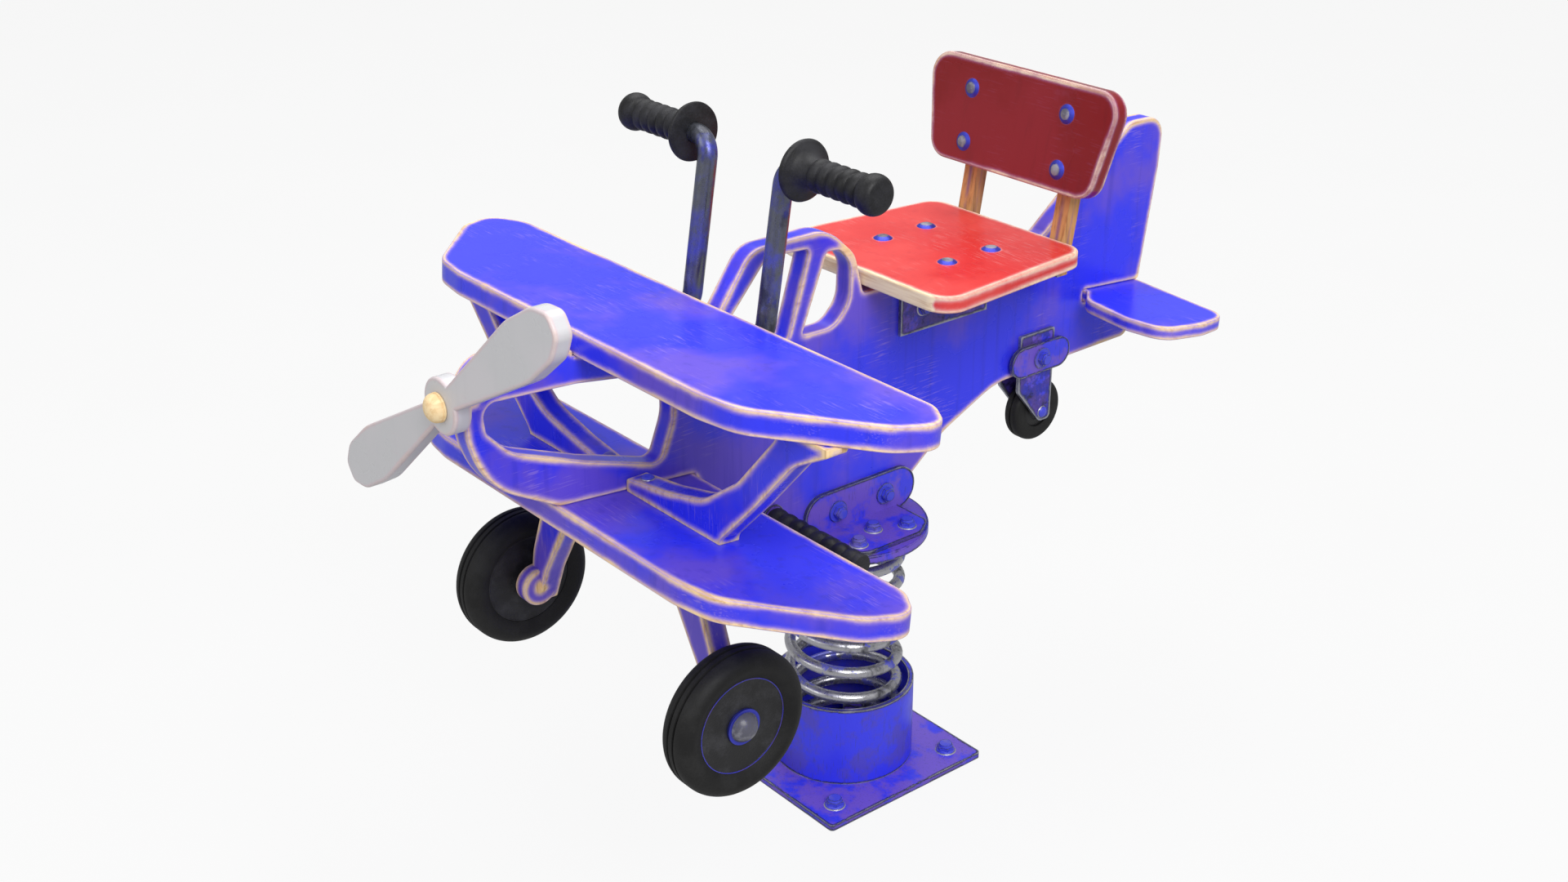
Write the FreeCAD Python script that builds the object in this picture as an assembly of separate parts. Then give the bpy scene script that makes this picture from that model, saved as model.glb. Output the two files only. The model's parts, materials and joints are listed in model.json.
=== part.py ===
def peg_collars():
    """The steel collars between the fuselage and the foot rests."""
    collar = tube(PEG_R + 2, PEG_ROD_R + GAP, (PEG_X, SKIN + GAP, PEG_Z), (PEG_X, PEG_IN - GAP, PEG_Z))
    return group([on_side(collar, side) for _, side in SIDES])


"""A playground spring rider in the shape of a biplane.

X points to the propeller, Y to the rider's left and Z up. The origin is on the ground,
under the centre of the spring. Every size is in millimetres. Each piece is one STEP file.
"""
import FreeCAD
import Part

import math
import os

Vector = FreeCAD.Vector
X_AXIS = Vector(1, 0, 0)
Y_AXIS = Vector(0, 1, 0)
Z_AXIS = Vector(0, 0, 1)
SIDES = (("left", 1), ("right", -1))

# ------------------------------------------------------------------ clearances and stock
GAP = 0.3                      # between pieces that only face each other
RUNNING = 0.06                 # radial play of a turning fit
HOLE_PLAY = 0.4                # radial play of a bolt in its hole
BOARD = 30.0                   # fuselage, wings, struts and legs
SEAT_BOARD = 22.0
BACK_BOARD = 24.0
TAIL_BOARD = 18.0
ARRIS = 2.0                    # rounding of every board's edges
PLATE = 6.0                    # steel brackets
WASHER = 2.5

# ------------------------------------------------------------------ ground base and spring
BASE_SIDE = 280.0
BASE_PLATE = 9.0
BASE_CORNER = 6.0
ANCHOR_INSET = 35.5
ANCHOR_R = 7.0
ANCHOR_HEX = 21.0
ANCHOR_HEAD = 12.0
CUP_R = 99.2
CUP_WALL = 7.5
CUP_TOP = 127.3
COIL_R = 74.9                  # to the middle of the wire
WIRE_R = 8.0
OPEN_TURNS = 6.765             # turns between the closer turn at each end
END_PITCH = 20.0               # of those end turns
LOWER_SEAT = 7.0               # of clamp under the wire's lower end
UPPER_SEAT = 14.5              # and over its upper end
COIL_POINTS = 16               # along the wire's middle, in each turn
COIL_EASE = 0.2                # turns over which the pitch changes, to each side
COIL_START = 133.0             # degrees round from the nose
DISC_R = 112.5
DISC_PLATE = 12.0
DISC_TOP = 372.0
CLAMP_LONG = 30.0
CLAMP_IN = 20.0                # how far a clamp reaches inside the wire's middle
LOWER_CLAMPS = (40.0, 160.0, 280.0)   # degrees along the wire from its end
UPPER_CLAMPS = (105.0, 180.0, 300.0)

# ------------------------------------------------------------------ spring brackets
LEAF_LONG = 194.5
LEAF_TALL = 62.0
LEAF_MID_X = -9.0
LEAF_OUT = 100.0               # how far the flat leaf reaches to each side
LEAF_BOLT_SPACING = 84.6
LEAF_BOLT_R = 6.0
LEAF_HEX = 17.0
LEAF_HEAD = 10.0
DISC_BOLT_R = 6.0
DISC_BOLTS = ((43.0, 76.0), (-43.0, 76.0), (0.0, 56.0))

# ------------------------------------------------------------------ wings
WING_TILT = 5.0                # degrees, front edge up
WING_CHORD = 200.0
WING_HALF_SPAN = 443.0
WING_REF_X = 350.0             # where the wings' heights are given
TOP_WING_X = 228.0             # rear edge
TOP_WING_Z = 750.0             # top face at WING_REF_X
LOW_WING_X = 264.0
LOW_WING_Z = 534.0
TAIL_WING_Z = 602.0            # top face at its own reference
TAIL_WING_REF_X = -455.0
TAIL_HALF_SPAN = 204.0
TAIL_ROOT_X = -436.0           # front edge at the fuselage

# ------------------------------------------------------------------ fuselage
DECK_Z = 699.0
NOSE_X = 577.0
TAIL_FIN_X = -582.0
SEAT_FRONT_X = -10.7
SEAT_REAR_X = -288.0
SEAT_FRONT_HALF = 168.0
SEAT_REAR_HALF = 143.0
SEAT_TOP = 731.0
SEAT_BOLT_X = (-114.0, -193.2)
SEAT_BOLT_Y = 61.8
SEAT_LEAF_X = (-74.0, -233.0)
SEAT_LEAF_DROP = 84.0
SEAT_LEAF_OUT = 88.0
SEAT_PLATE = 5.0

# ------------------------------------------------------------------ backrest
BACK_LEAN = 10.0               # degrees
BACK_FOOT_X = -277.7           # front face, lower edge
BACK_FOOT_Z = 798.0
BACK_TALL = 144.0
BACK_TOP_HALF = 175.0
BACK_FOOT_HALF = 147.0
BACK_BOLT_Y = 87.1
BACK_BOLT_UP = (29.8, 103.1)   # up the board from its lower edge
UPRIGHT_WIDE = 24.0
UPRIGHT_DEEP = 20.0
UPRIGHT_FOOT_Z = 681.0

# ------------------------------------------------------------------ propeller
PROP_X = 578.5                 # rear face of the board
PROP_Z = 706.0
PROP_BOARD = 22.0
PROP_HUB_R = 34.0
PROP_REACH = 292.0
PROP_TURN = 35.0               # degrees above level
PROP_SHAFT_R = 8.0
CAP_R = 17.5

# ------------------------------------------------------------------ front wheels and legs
WHEEL_X = 373.5
WHEEL_Z = 320.0
WHEEL_R = 93.3
WHEEL_IN = 204.7
WHEEL_OUT = 254.6
HUB_DISC_R = 61.5
HUB_SINK = 8.0
AXLE_R = 8.0
STRUT_FRONT_X = 367.0
STRUT_BOLT_Y = 40.0
STRUT_BOLT_Z = 557.2
STRUT_BOLT_R = 4.0
STRUT_BOLT_DEEP = 20.0         # into the lower wing
LEG_FRONT_X = 374.0
LEG_BOSS_R = 26.0
LEG_BOSS_IN = 182.0
AXLE_END = 186.0

# ------------------------------------------------------------------ tail wheel
TAIL_WHEEL_X = -357.0
TAIL_WHEEL_Z = 437.0
TAIL_WHEEL_R = 46.5
TAIL_WHEEL_WIDE = 26.0
TAIL_HUB_R = 25.0
TAIL_AXLE_R = 5.0
FORK_PLATE = 5.0
FORK_FRONT_X = -305.0
FORK_REAR_X = -373.0
FORK_TOP_Z = 565.0
TAIL_LINK_X = -342.0
TAIL_LINK_Z = 527.0
TAIL_LINK_LONG = 116.0
TAIL_LINK_TALL = 45.0
TAIL_LINK_PLATE = 6.0

# ------------------------------------------------------------------ handles and foot rest
TUBE_R = 12.5
POST_Y = 72.5
GRIP_X = 165.2
GRIP_Z = 916.8
GRIP_IN = 102.7
GRIP_OUT = 238.7
GRIP_FLANGE_R = 37.5
GRIP_BODY_R = 17.5
GRIP_RIBS = 5
POST_LEAN = 9.0                # degrees, top towards the rider
TUBE_END_X = 322.0
TUBE_BEND = 36.0
STRAP = 4.0
STRAP_LONG = 16.0
STRAP_FOOT = 16.0
PEG_X = 145.0
PEG_Z = 431.0
PEG_R = 15.0
PEG_RINGS = 8
PEG_GROOVE = 3.0
PEG_ROD_R = 8.0
PEG_IN = 24.0
PEG_OUT = 196.0

# ------------------------------------------------------------------ derived places
WING_SLOPE = math.tan(math.radians(WING_TILT))
ANCHOR_PITCH = BASE_SIDE / 2 - ANCHOR_INSET
DISC_BOTTOM = DISC_TOP - DISC_PLATE
SKIN = BOARD / 2               # the fuselage's side faces are at plus and minus this
BOARD_DROP = BOARD / math.cos(math.radians(WING_TILT))
COIL_LOW = BASE_PLATE + LOWER_SEAT + WIRE_R
COIL_HIGH = DISC_BOTTOM - UPPER_SEAT - WIRE_R
COIL_PITCH = (COIL_HIGH - COIL_LOW - 2 * END_PITCH) / OPEN_TURNS
COIL_TURNS = OPEN_TURNS + 2
LEAF_Z = DISC_TOP + LEAF_TALL / 2
SEAT_LEAF_Z = SEAT_TOP - SEAT_BOARD - GAP
LEAF_BOLTS_X = (LEAF_MID_X - LEAF_BOLT_SPACING / 2, LEAF_MID_X + LEAF_BOLT_SPACING / 2)


# ------------------------------------------------------------------ small helpers
def wing_z(height, x, reference=WING_REF_X):
    """Height at x of a tilted plane that is at height over the reference."""
    return height + WING_SLOPE * (x - reference)


def box(low, high):
    """A block from its lowest to its highest corner."""
    size = [b - a for a, b in zip(low, high)]
    return Part.makeBox(size[0], size[1], size[2], Vector(*low))


def rod(radius, start, end):
    """A round bar between two points."""
    line = Vector(*end).sub(Vector(*start))
    return Part.makeCylinder(radius, line.Length, Vector(*start), line)


def tube(outer, inner, start, end):
    """A round tube between two points."""
    return rod(outer, start, end).cut(rod(inner, start, end))


def mirrored(shape):
    """The same piece on the rider's other side."""
    return shape.mirror(Vector(0, 0, 0), Y_AXIS)


def on_side(shape, side):
    """A piece modelled on the left, put on the side given."""
    return shape if side > 0 else mirrored(shape)


def rounded_wire(corners, place):
    """A closed wire from (u, v, radius) corners, with an arc at each corner."""
    edges = []
    points = [(Vector(u, v, 0), r) for u, v, r in corners]
    joints = []
    for i, (corner, radius) in enumerate(points):
        before = points[i - 1][0].sub(corner)
        after = points[(i + 1) % len(points)][0].sub(corner)
        half = before.getAngle(after) / 2
        setback = radius / math.tan(half)
        inward = (before.normalize() + after.normalize()).normalize()
        middle = corner + inward * (radius / math.sin(half) - radius)
        joints.append((corner + before * setback, middle, corner + after * setback, radius))
    for i, (start, middle, end, radius) in enumerate(joints):
        if radius > 0:
            edges.append(Part.Arc(place(start), place(middle), place(end)).toShape())
        following = joints[(i + 1) % len(joints)][0]
        if end.distanceToPoint(following) > 1e-6:
            edges.append(Part.LineSegment(place(end), place(following)).toShape())
    return Part.Wire(edges)


def in_xz(y):
    """Maps outline points to a plane of constant y."""
    return lambda p: Vector(p.x, y, p.y)


def in_xy(z):
    """Maps outline points to a plane of constant z."""
    return lambda p: Vector(p.x, p.y, z)


def in_yz(x):
    """Maps outline points to a plane of constant x."""
    return lambda p: Vector(x, p.x, p.y)


def board(wire, depth):
    """A board of the outline given, extruded by a vector."""
    return Part.Face(wire).extrude(depth)


def eased(shape, radius=ARRIS):
    """A board with the arrises of its two broad faces rounded."""
    faces = sorted(shape.Faces, key=lambda face: -face.Area)[:2]
    edges = [edge for face in faces for edge in face.Edges]
    return shape.makeFillet(radius, edges)


def tilted(shape, x, z):
    """A level piece, turned to the wings' tilt about a line across the object."""
    turned = shape.copy()
    turned.rotate(Vector(x, 0, z), Y_AXIS, -WING_TILT)
    return turned


def hexagon(flats, height, base, axis):
    """A hexagonal prism that stands on base and points along axis."""
    corner = flats / math.sqrt(3)
    ring = [Vector(corner * math.cos(math.radians(60 * i)),
                   corner * math.sin(math.radians(60 * i)), 0) for i in range(7)]
    prism = Part.Face(Part.makePolygon(ring)).extrude(Vector(0, 0, height))
    limit = Part.makeCone(corner, flats / 2 * 0.86, height, Vector(0, 0, 0), Z_AXIS)
    prism = prism.common(limit.fuse(Part.makeCylinder(corner, height * 0.7)))
    prism.Placement = FreeCAD.Placement(Vector(*base), FreeCAD.Rotation(Z_AXIS, Vector(*axis)))
    return prism


def hex_bolt(radius, flats, head, grip, base, axis, flange=0.0):
    """A hexagon bolt whose head stands on base and whose shank runs back by grip."""
    base = Vector(*base)
    axis = Vector(*axis)
    bolt = hexagon(flats, head, base, axis)
    if flange > 0:
        bolt = bolt.fuse(Part.makeCone(flange, flats / 2, head * 0.3, base, axis))
    if grip > 0:
        bolt = bolt.fuse(Part.makeCylinder(radius, grip, base, axis * -1))
    return bolt.removeSplitter()


def dome(radius, rise, base, axis):
    """A low round head of the width and rise given."""
    ball = (radius * radius + rise * rise) / (2 * rise)
    reach = math.asin(radius / ball) / 2
    middle = Vector(ball * math.sin(reach), 0, rise - ball + ball * math.cos(reach))
    edges = [Part.LineSegment(Vector(0, 0, 0), Vector(radius, 0, 0)).toShape(),
             Part.Arc(Vector(radius, 0, 0), middle, Vector(0, 0, rise)).toShape(),
             Part.LineSegment(Vector(0, 0, rise), Vector(0, 0, 0)).toShape()]
    cap = Part.Face(Part.Wire(edges)).revolve(Vector(0, 0, 0), Z_AXIS, 360)
    cap.Placement = FreeCAD.Placement(Vector(*base), FreeCAD.Rotation(Z_AXIS, Vector(*axis)))
    return cap


def washer(inner, outer, thick, base, axis):
    """A flat ring that stands on base."""
    ring = Part.makeCylinder(outer, thick, Vector(*base), Vector(*axis))
    return ring.cut(Part.makeCylinder(inner, thick, Vector(*base), Vector(*axis)))


def group(shapes):
    """Several separate solids kept as one node."""
    return Part.Compound(shapes)


# ------------------------------------------------------------------ base and spring
def anchor_places():
    """The four bolt places on the base plate."""
    return [(sx * ANCHOR_PITCH, sy * ANCHOR_PITCH) for sx in (1, -1) for sy in (1, -1)]


def base_plate():
    """The square steel plate on the ground."""
    half = BASE_SIDE / 2
    corners = [(half, half, BASE_CORNER), (-half, half, BASE_CORNER),
               (-half, -half, BASE_CORNER), (half, -half, BASE_CORNER)]
    plate = board(rounded_wire(corners, in_xy(0)), Vector(0, 0, BASE_PLATE))
    for x, y in anchor_places():
        plate = plate.cut(rod(ANCHOR_R + HOLE_PLAY, (x, y, -1), (x, y, BASE_PLATE + 1)))
    return plate


def spring_cup():
    """The steel ring that is welded to the plate round the lowest coils."""
    return tube(CUP_R, CUP_R - CUP_WALL, (0, 0, BASE_PLATE), (0, 0, CUP_TOP))


def anchor_bolts():
    """Four flange bolts through the plate's corners."""
    bolts = []
    for x, y in anchor_places():
        bolts.append(hex_bolt(ANCHOR_R, ANCHOR_HEX, ANCHOR_HEAD, BASE_PLATE, (x, y, BASE_PLATE), (0, 0, 1), 15))
    return group(bolts)


def coil_height(turn):
    """Height of the wire's middle a number of turns up, with a closer turn at each end."""
    heights = []
    for step in (-1, -0.75, -0.5, -0.25, 0, 0.25, 0.5, 0.75, 1):
        near = turn + step * COIL_EASE
        open_part = min(max(near - 1, 0), COIL_TURNS - 2)
        heights.append(COIL_LOW + END_PITCH * (near - open_part) + COIL_PITCH * open_part)
    return sum(heights) / len(heights)


def coil_spring():
    """One round steel wire, wound to the left going up."""
    steps = round(COIL_TURNS * COIL_POINTS)
    points = []
    for step in range(steps + 1):
        turn = COIL_TURNS * step / steps
        angle = math.radians(COIL_START - 360 * turn)
        points.append(Vector(COIL_R * math.cos(angle), COIL_R * math.sin(angle), coil_height(turn)))
    middle = Part.BSplineCurve()
    middle.interpolate(points)
    tangent = middle.tangent(middle.FirstParameter)[0]
    section = Part.Wire([Part.makeCircle(WIRE_R, points[0], tangent)])
    return Part.Wire([middle.toShape()]).makePipeShell([section], True, True)


def clamp_block(angle, seat, wire_z):
    """A block on its seat, with a round saddle that holds the wire at one angle."""
    low, high = sorted((seat, wire_z))
    block = box((COIL_R - CLAMP_IN, -CLAMP_LONG / 2, low), (COIL_R + WIRE_R + 3, CLAMP_LONG / 2, high))
    climb = END_PITCH * CLAMP_LONG / (4 * math.pi * COIL_R)
    block = block.cut(Part.makeTorus(COIL_R, WIRE_R + climb + GAP, Vector(0, 0, wire_z)))
    block.rotate(Vector(0, 0, 0), Z_AXIS, angle)
    return block


def lower_clamps():
    """Saddle blocks on the base plate, under the spring's lowest turn."""
    blocks = []
    for along in LOWER_CLAMPS:
        blocks.append(clamp_block(COIL_START - along, BASE_PLATE, coil_height(along / 360)))
    return group(blocks)


def upper_clamps():
    """Saddle blocks under the disc, over the spring's highest turn."""
    blocks = []
    for along in UPPER_CLAMPS:
        turn = COIL_TURNS - along / 360
        blocks.append(clamp_block(COIL_START - 360 * turn, DISC_BOTTOM, coil_height(turn)))
    return group(blocks)


def top_disc():
    """The round steel plate on top of the spring."""
    disc = rod(DISC_R, (0, 0, DISC_BOTTOM), (0, 0, DISC_TOP))
    disc = disc.makeFillet(2.0, disc.Edges[:1])
    for x, y in DISC_BOLTS:
        for _, side in SIDES:
            hole = rod(DISC_BOLT_R + HOLE_PLAY, (x, side * y, DISC_BOTTOM - 1), (x, side * y, DISC_TOP + 1))
            disc = disc.cut(hole)
    return disc


# ------------------------------------------------------------------ spring brackets
def leaf_outline(long, tall, mid_x, mid_z, y):
    """A plate's outline with half-round ends."""
    r = tall / 2 - 0.01
    corners = [(mid_x + long / 2, mid_z + tall / 2, r), (mid_x - long / 2, mid_z + tall / 2, r),
               (mid_x - long / 2, mid_z - tall / 2, r), (mid_x + long / 2, mid_z - tall / 2, r)]
    return rounded_wire(corners, in_xz(y))


def spring_bracket():
    """The left angle bracket: an upright leaf on the fuselage and a flat leaf on the disc."""
    face = SKIN + GAP
    wire = leaf_outline(LEAF_LONG, LEAF_TALL, LEAF_MID_X, LEAF_Z, face)
    upright = board(wire, Vector(0, PLATE, 0))
    flat_half = (LEAF_LONG - LEAF_TALL) / 2
    flat = box((LEAF_MID_X - flat_half, face, DISC_TOP), (LEAF_MID_X + flat_half, LEAF_OUT, DISC_TOP + PLATE))
    flat = flat.common(rod(DISC_R - 3, (0, 0, DISC_TOP), (0, 0, DISC_TOP + PLATE)))
    bracket = upright.fuse(flat)
    hole = LEAF_BOLT_R + HOLE_PLAY
    for x in LEAF_BOLTS_X:
        bracket = bracket.cut(rod(hole, (x, face - 1, LEAF_Z), (x, face + PLATE + 1, LEAF_Z)))
    hole = DISC_BOLT_R + HOLE_PLAY
    for x, y in DISC_BOLTS:
        bracket = bracket.cut(rod(hole, (x, y, DISC_TOP - 1), (x, y, DISC_TOP + PLATE + 1)))
    return bracket.removeSplitter()


def bracket_bolts():
    """Two bolts through both brackets and the fuselage, with a washer at each end."""
    solids = []
    face = SKIN + GAP + PLATE
    reach = face + WASHER
    for x in LEAF_BOLTS_X:
        solids.append(hex_bolt(LEAF_BOLT_R, LEAF_HEX, LEAF_HEAD, 2 * reach, (x, reach, LEAF_Z), (0, 1, 0)))
        nut = hexagon(LEAF_HEX, LEAF_HEAD, (x, -reach, LEAF_Z), (0, -1, 0))
        solids[-1] = solids[-1].fuse(nut).removeSplitter()
        for _, side in SIDES:
            solids.append(washer(LEAF_BOLT_R, 15, WASHER, (x, side * face, LEAF_Z), (0, side, 0)))
    return group(solids)


def disc_bolts():
    """Flange bolts that hold the brackets' flat leaves to the disc, with nuts below."""
    solids = []
    for x, y in DISC_BOLTS:
        for _, side in SIDES:
            top = (x, side * y, DISC_TOP + PLATE)
            bolt = hex_bolt(DISC_BOLT_R, 18, 11, PLATE + DISC_PLATE, top, (0, 0, 1), 13)
            nut = hexagon(18, 8, (x, side * y, DISC_BOTTOM), (0, 0, -1))
            solids.append(bolt.fuse(nut).removeSplitter())
    return group(solids)


# ------------------------------------------------------------------ fuselage and wings
def fuselage_outline():
    """The side view, from the nose over the deck and fin, and back under the belly."""
    top_front = TOP_WING_X + WING_CHORD + 5
    under_top = TOP_WING_Z - BOARD_DROP - GAP
    low_front = LOW_WING_X + WING_CHORD
    on_low = LOW_WING_Z + GAP
    tail_top = TAIL_WING_Z + GAP
    tail_low = TAIL_WING_Z - TAIL_BOARD / math.cos(math.radians(WING_TILT)) - GAP
    slot_x = TAIL_ROOT_X + 2
    foot = DISC_TOP + GAP
    return [
        (NOSE_X, 724, 26), (553, 752, 34), (470, 746, 60), (top_front, 734, 3),
        (top_front, wing_z(under_top, top_front), 1),
        (TOP_WING_X - 1, wing_z(under_top, TOP_WING_X - 1), 1),
        (TOP_WING_X - 1, 719, 3), (171, 797, 38), (48, 797, 62), (3, 755, 40), (-12, DECK_Z, 7),
        (-342, DECK_Z + 4, 30), (-512, 836, 34), (TAIL_FIN_X, 834, 30), (-578, 760, 60),
        (-553, wing_z(tail_top, -553, TAIL_WING_REF_X), 5),
        (slot_x, wing_z(tail_top, slot_x, TAIL_WING_REF_X), 1),
        (slot_x, wing_z(tail_low, slot_x, TAIL_WING_REF_X), 1),
        (-541, wing_z(tail_low, -541, TAIL_WING_REF_X), 5),
        (-538, 510, 16), (-375, 508, 80), (-262, 504, 120), (-166, 460, 90), (-105, 412, 20),
        (-92, foot, 3), (80, foot, 3), (150, 396, 60), (232, 448, 50),
        (LOW_WING_X - 1, wing_z(on_low, LOW_WING_X - 1), 1),
        (low_front - 3, wing_z(on_low, low_front - 3), 30), (556, 596, 110), (NOSE_X, 660, 60),
    ]


def nose_opening():
    """The long rounded opening in the nose."""
    return [(556, 700, 16), (430, 692, 40), (296, 671, 12), (293, 610, 60), (314, 555, 14),
            (420, 590, 120), (520, 630, 60), (552, 664, 14)]


def windscreen_window():
    """The front window of the windscreen."""
    return [(78, 778, 6), (146, 782, 16), (206, 714, 14), (186, 668, 8), (113, 666, 5)]


def cockpit_window():
    """The rear window of the windscreen, round at the back."""
    return [(50, 768, 5), (26, 766, 20), (9, 742, 30), (11, 690, 40), (38, 664, 32), (91, 665, 5)]


def fuselage():
    """The long board that carries everything else."""
    place = in_xz(-SKIN)
    depth = Vector(0, BOARD, 0)
    body = board(rounded_wire(fuselage_outline(), place), depth)
    for opening in (nose_opening(), windscreen_window(), cockpit_window()):
        body = body.cut(board(rounded_wire(opening, place), depth))
    body = eased(body)
    for x in LEAF_BOLTS_X:
        body = body.cut(rod(LEAF_BOLT_R + HOLE_PLAY, (x, -SKIN - 1, LEAF_Z), (x, SKIN + 1, LEAF_Z)))
    body = body.cut(rod(PEG_ROD_R + HOLE_PLAY, (PEG_X, -SKIN - 1, PEG_Z), (PEG_X, SKIN + 1, PEG_Z)))
    body = body.cut(rod(LEAF_BOLT_R + HOLE_PLAY, (TAIL_LINK_X, -SKIN - 1, TAIL_LINK_Z),
                        (TAIL_LINK_X, SKIN + 1, TAIL_LINK_Z)))
    for x in SEAT_BOLT_X:
        z = seat_side_bolt_z()
        body = body.cut(rod(LEAF_BOLT_R + HOLE_PLAY, (x, -SKIN - 1, z), (x, SKIN + 1, z)))
    shaft = rod(PROP_SHAFT_R + GAP, (NOSE_X - 20, 0, PROP_Z), (NOSE_X + 5, 0, PROP_Z))
    return body.cut(shaft)


def wing_outline():
    """A wing's plan, symmetric about the fuselage, from its rear edge at x = 0."""
    span = WING_HALF_SPAN
    chord = WING_CHORD
    half = [(0, span - 42, 40), (30, span + 5, 30), (chord * 0.42, span - 18, 60),
            (chord * 0.95, span - 140, 70), (chord, span - 200, 90)]
    other = [(x, -y, r) for x, y, r in reversed(half)]
    return half + other


def wing(rear_x, height):
    """One wing board at its tilt. The height is the top face's at the reference."""
    cos_tilt = math.cos(math.radians(WING_TILT))
    corners = [(rear_x + x / cos_tilt, y, r) for x, y, r in wing_outline()]
    plank = eased(board(rounded_wire(corners, in_xy(height - BOARD)), Vector(0, 0, BOARD)))
    return tilted(plank, WING_REF_X, height)


def upper_wing():
    """The wing on top of the nose."""
    return wing(TOP_WING_X, TOP_WING_Z)


def lower_wing():
    """The wing under the nose, with the strut bolts' holes."""
    return wing(LOW_WING_X, LOW_WING_Z).cut([on_side(strut_bolt_hole(), side) for _, side in SIDES])


def tail_outline():
    """The tailplane's plan, symmetric about the fuselage."""
    half = [(TAIL_ROOT_X, 20, 8), (-402, 50, 40), (-388, 135, 60), (-398, TAIL_HALF_SPAN - 8, 34),
            (-470, TAIL_HALF_SPAN + 2, 60), (-530, TAIL_HALF_SPAN - 8, 34), (-534, 150, 60), (-551, 12, 10)]
    other = [(x, -y, r) for x, y, r in reversed(half)]
    return half + other


def tailplane():
    """The small wing in the slot of the tail."""
    corners = rounded_wire(tail_outline(), in_xy(TAIL_WING_Z - TAIL_BOARD))
    plank = eased(board(corners, Vector(0, 0, TAIL_BOARD)))
    return tilted(plank, TAIL_WING_REF_X, TAIL_WING_Z)


def strut_outline():
    """The left strut between the wings, seen from the front."""
    return [(SKIN + 1, 480, 1), (198, 480, 1), (198, 540, 20), (262, 606, 60), (330, 682, 60),
            (384, 712, 6), (384, 800, 1), (330, 800, 1), (300, 706, 50), (232, 628, 60), (165, 580, 90),
            (92, 563, 60), (SKIN + 1, 552, 4)]


def between_wings(back_x, front_x):
    """The tilted space between the two wings, over a stretch of the length."""
    floor = [Vector(x, 0, wing_z(LOW_WING_Z + GAP, x)) for x in (back_x, front_x)]
    roof = [Vector(x, 0, wing_z(TOP_WING_Z - BOARD_DROP - GAP, x)) for x in (front_x, back_x)]
    return Part.Face(Part.makePolygon(floor + roof + floor[:1])).extrude(Vector(0, WING_HALF_SPAN, 0))


def below_wings(back_x, front_x):
    """The space under the lower wing, over a stretch of the length."""
    roof = [Vector(x, 0, wing_z(LOW_WING_Z - BOARD_DROP - GAP, x)) for x in (back_x, front_x)]
    floor = [Vector(front_x, 0, 0), Vector(back_x, 0, 0)]
    return Part.Face(Part.makePolygon(roof + floor + roof[:1])).extrude(Vector(0, WING_HALF_SPAN, 0))


def strut_bolt_end():
    """The left strut bolt's lower end, inside the lower wing."""
    x = STRUT_FRONT_X - BOARD / 2
    return (x, STRUT_BOLT_Y, wing_z(LOW_WING_Z, x) - STRUT_BOLT_DEEP)


def strut_bolt_hole():
    """The left strut bolt's hole through the strut's toe and into the lower wing."""
    x, y, z = strut_bolt_end()
    return rod(STRUT_BOLT_R + HOLE_PLAY, (x, y, z - GAP), (x, y, STRUT_BOLT_Z + 20))


def strut():
    """A curved board that stands on the lower wing and carries the upper one."""
    back_x = STRUT_FRONT_X - BOARD
    plank = eased(board(rounded_wire(strut_outline(), in_yz(back_x)), Vector(BOARD, 0, 0)))
    return plank.common(between_wings(back_x - 1, STRUT_FRONT_X + 1)).cut(strut_bolt_hole())


def leg_outline():
    """The left leg seen from the front, from the lower wing to the wheel."""
    return [(60, 540, 1), (166, 540, 1), (170, 440, 60), (196, 372, 60), (WHEEL_IN - GAP, 330, 4),
            (WHEEL_IN - GAP, 296, 4), (190, 293, 4), (166, 350, 80), (122, 424, 60), (60, 500, 1)]


def leg():
    """A curved board under the lower wing, with a round boss for the axle."""
    back_x = LEG_FRONT_X - BOARD
    plank = eased(board(rounded_wire(leg_outline(), in_yz(back_x)), Vector(BOARD, 0, 0)))
    plank = plank.common(below_wings(back_x - 1, LEG_FRONT_X + 1))
    boss = rod(LEG_BOSS_R, (WHEEL_X, LEG_BOSS_IN, WHEEL_Z), (WHEEL_X, WHEEL_IN - GAP, WHEEL_Z))
    boss = boss.makeFillet(ARRIS, [edge for edge in boss.Edges if len(edge.Vertexes) == 1])
    bore = rod(AXLE_R + HOLE_PLAY, (WHEEL_X, AXLE_END - GAP, WHEEL_Z), (WHEEL_X, WHEEL_OUT, WHEEL_Z))
    return plank.fuse(boss).removeSplitter().cut(bore)


# ------------------------------------------------------------------ front wheels
def revolve_about_y(points, x, z):
    """A solid turned about a line along y, from (y, radius) corners."""
    ring = [Vector(x + r, y, z) for y, r in points]
    face = Part.Face(Part.makePolygon(ring + ring[:1]))
    return face.revolve(Vector(x, 0, z), Y_AXIS, 360)


def tyre():
    """The solid rubber ring of a front wheel."""
    mid = (WHEEL_IN + WHEEL_OUT) / 2
    half = (WHEEL_OUT - WHEEL_IN) / 2
    points = [(-half, HUB_DISC_R), (half, HUB_DISC_R), (half, WHEEL_R - 16), (half - 5, WHEEL_R - 5),
              (half - 14, WHEEL_R), (6.5, WHEEL_R), (5, WHEEL_R - 3), (3.5, WHEEL_R), (-3.5, WHEEL_R),
              (-5, WHEEL_R - 3), (-6.5, WHEEL_R), (14 - half, WHEEL_R), (5 - half, WHEEL_R - 5),
              (-half, WHEEL_R - 16)]
    return revolve_about_y([(mid + y, r) for y, r in points], WHEEL_X, WHEEL_Z)


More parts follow.
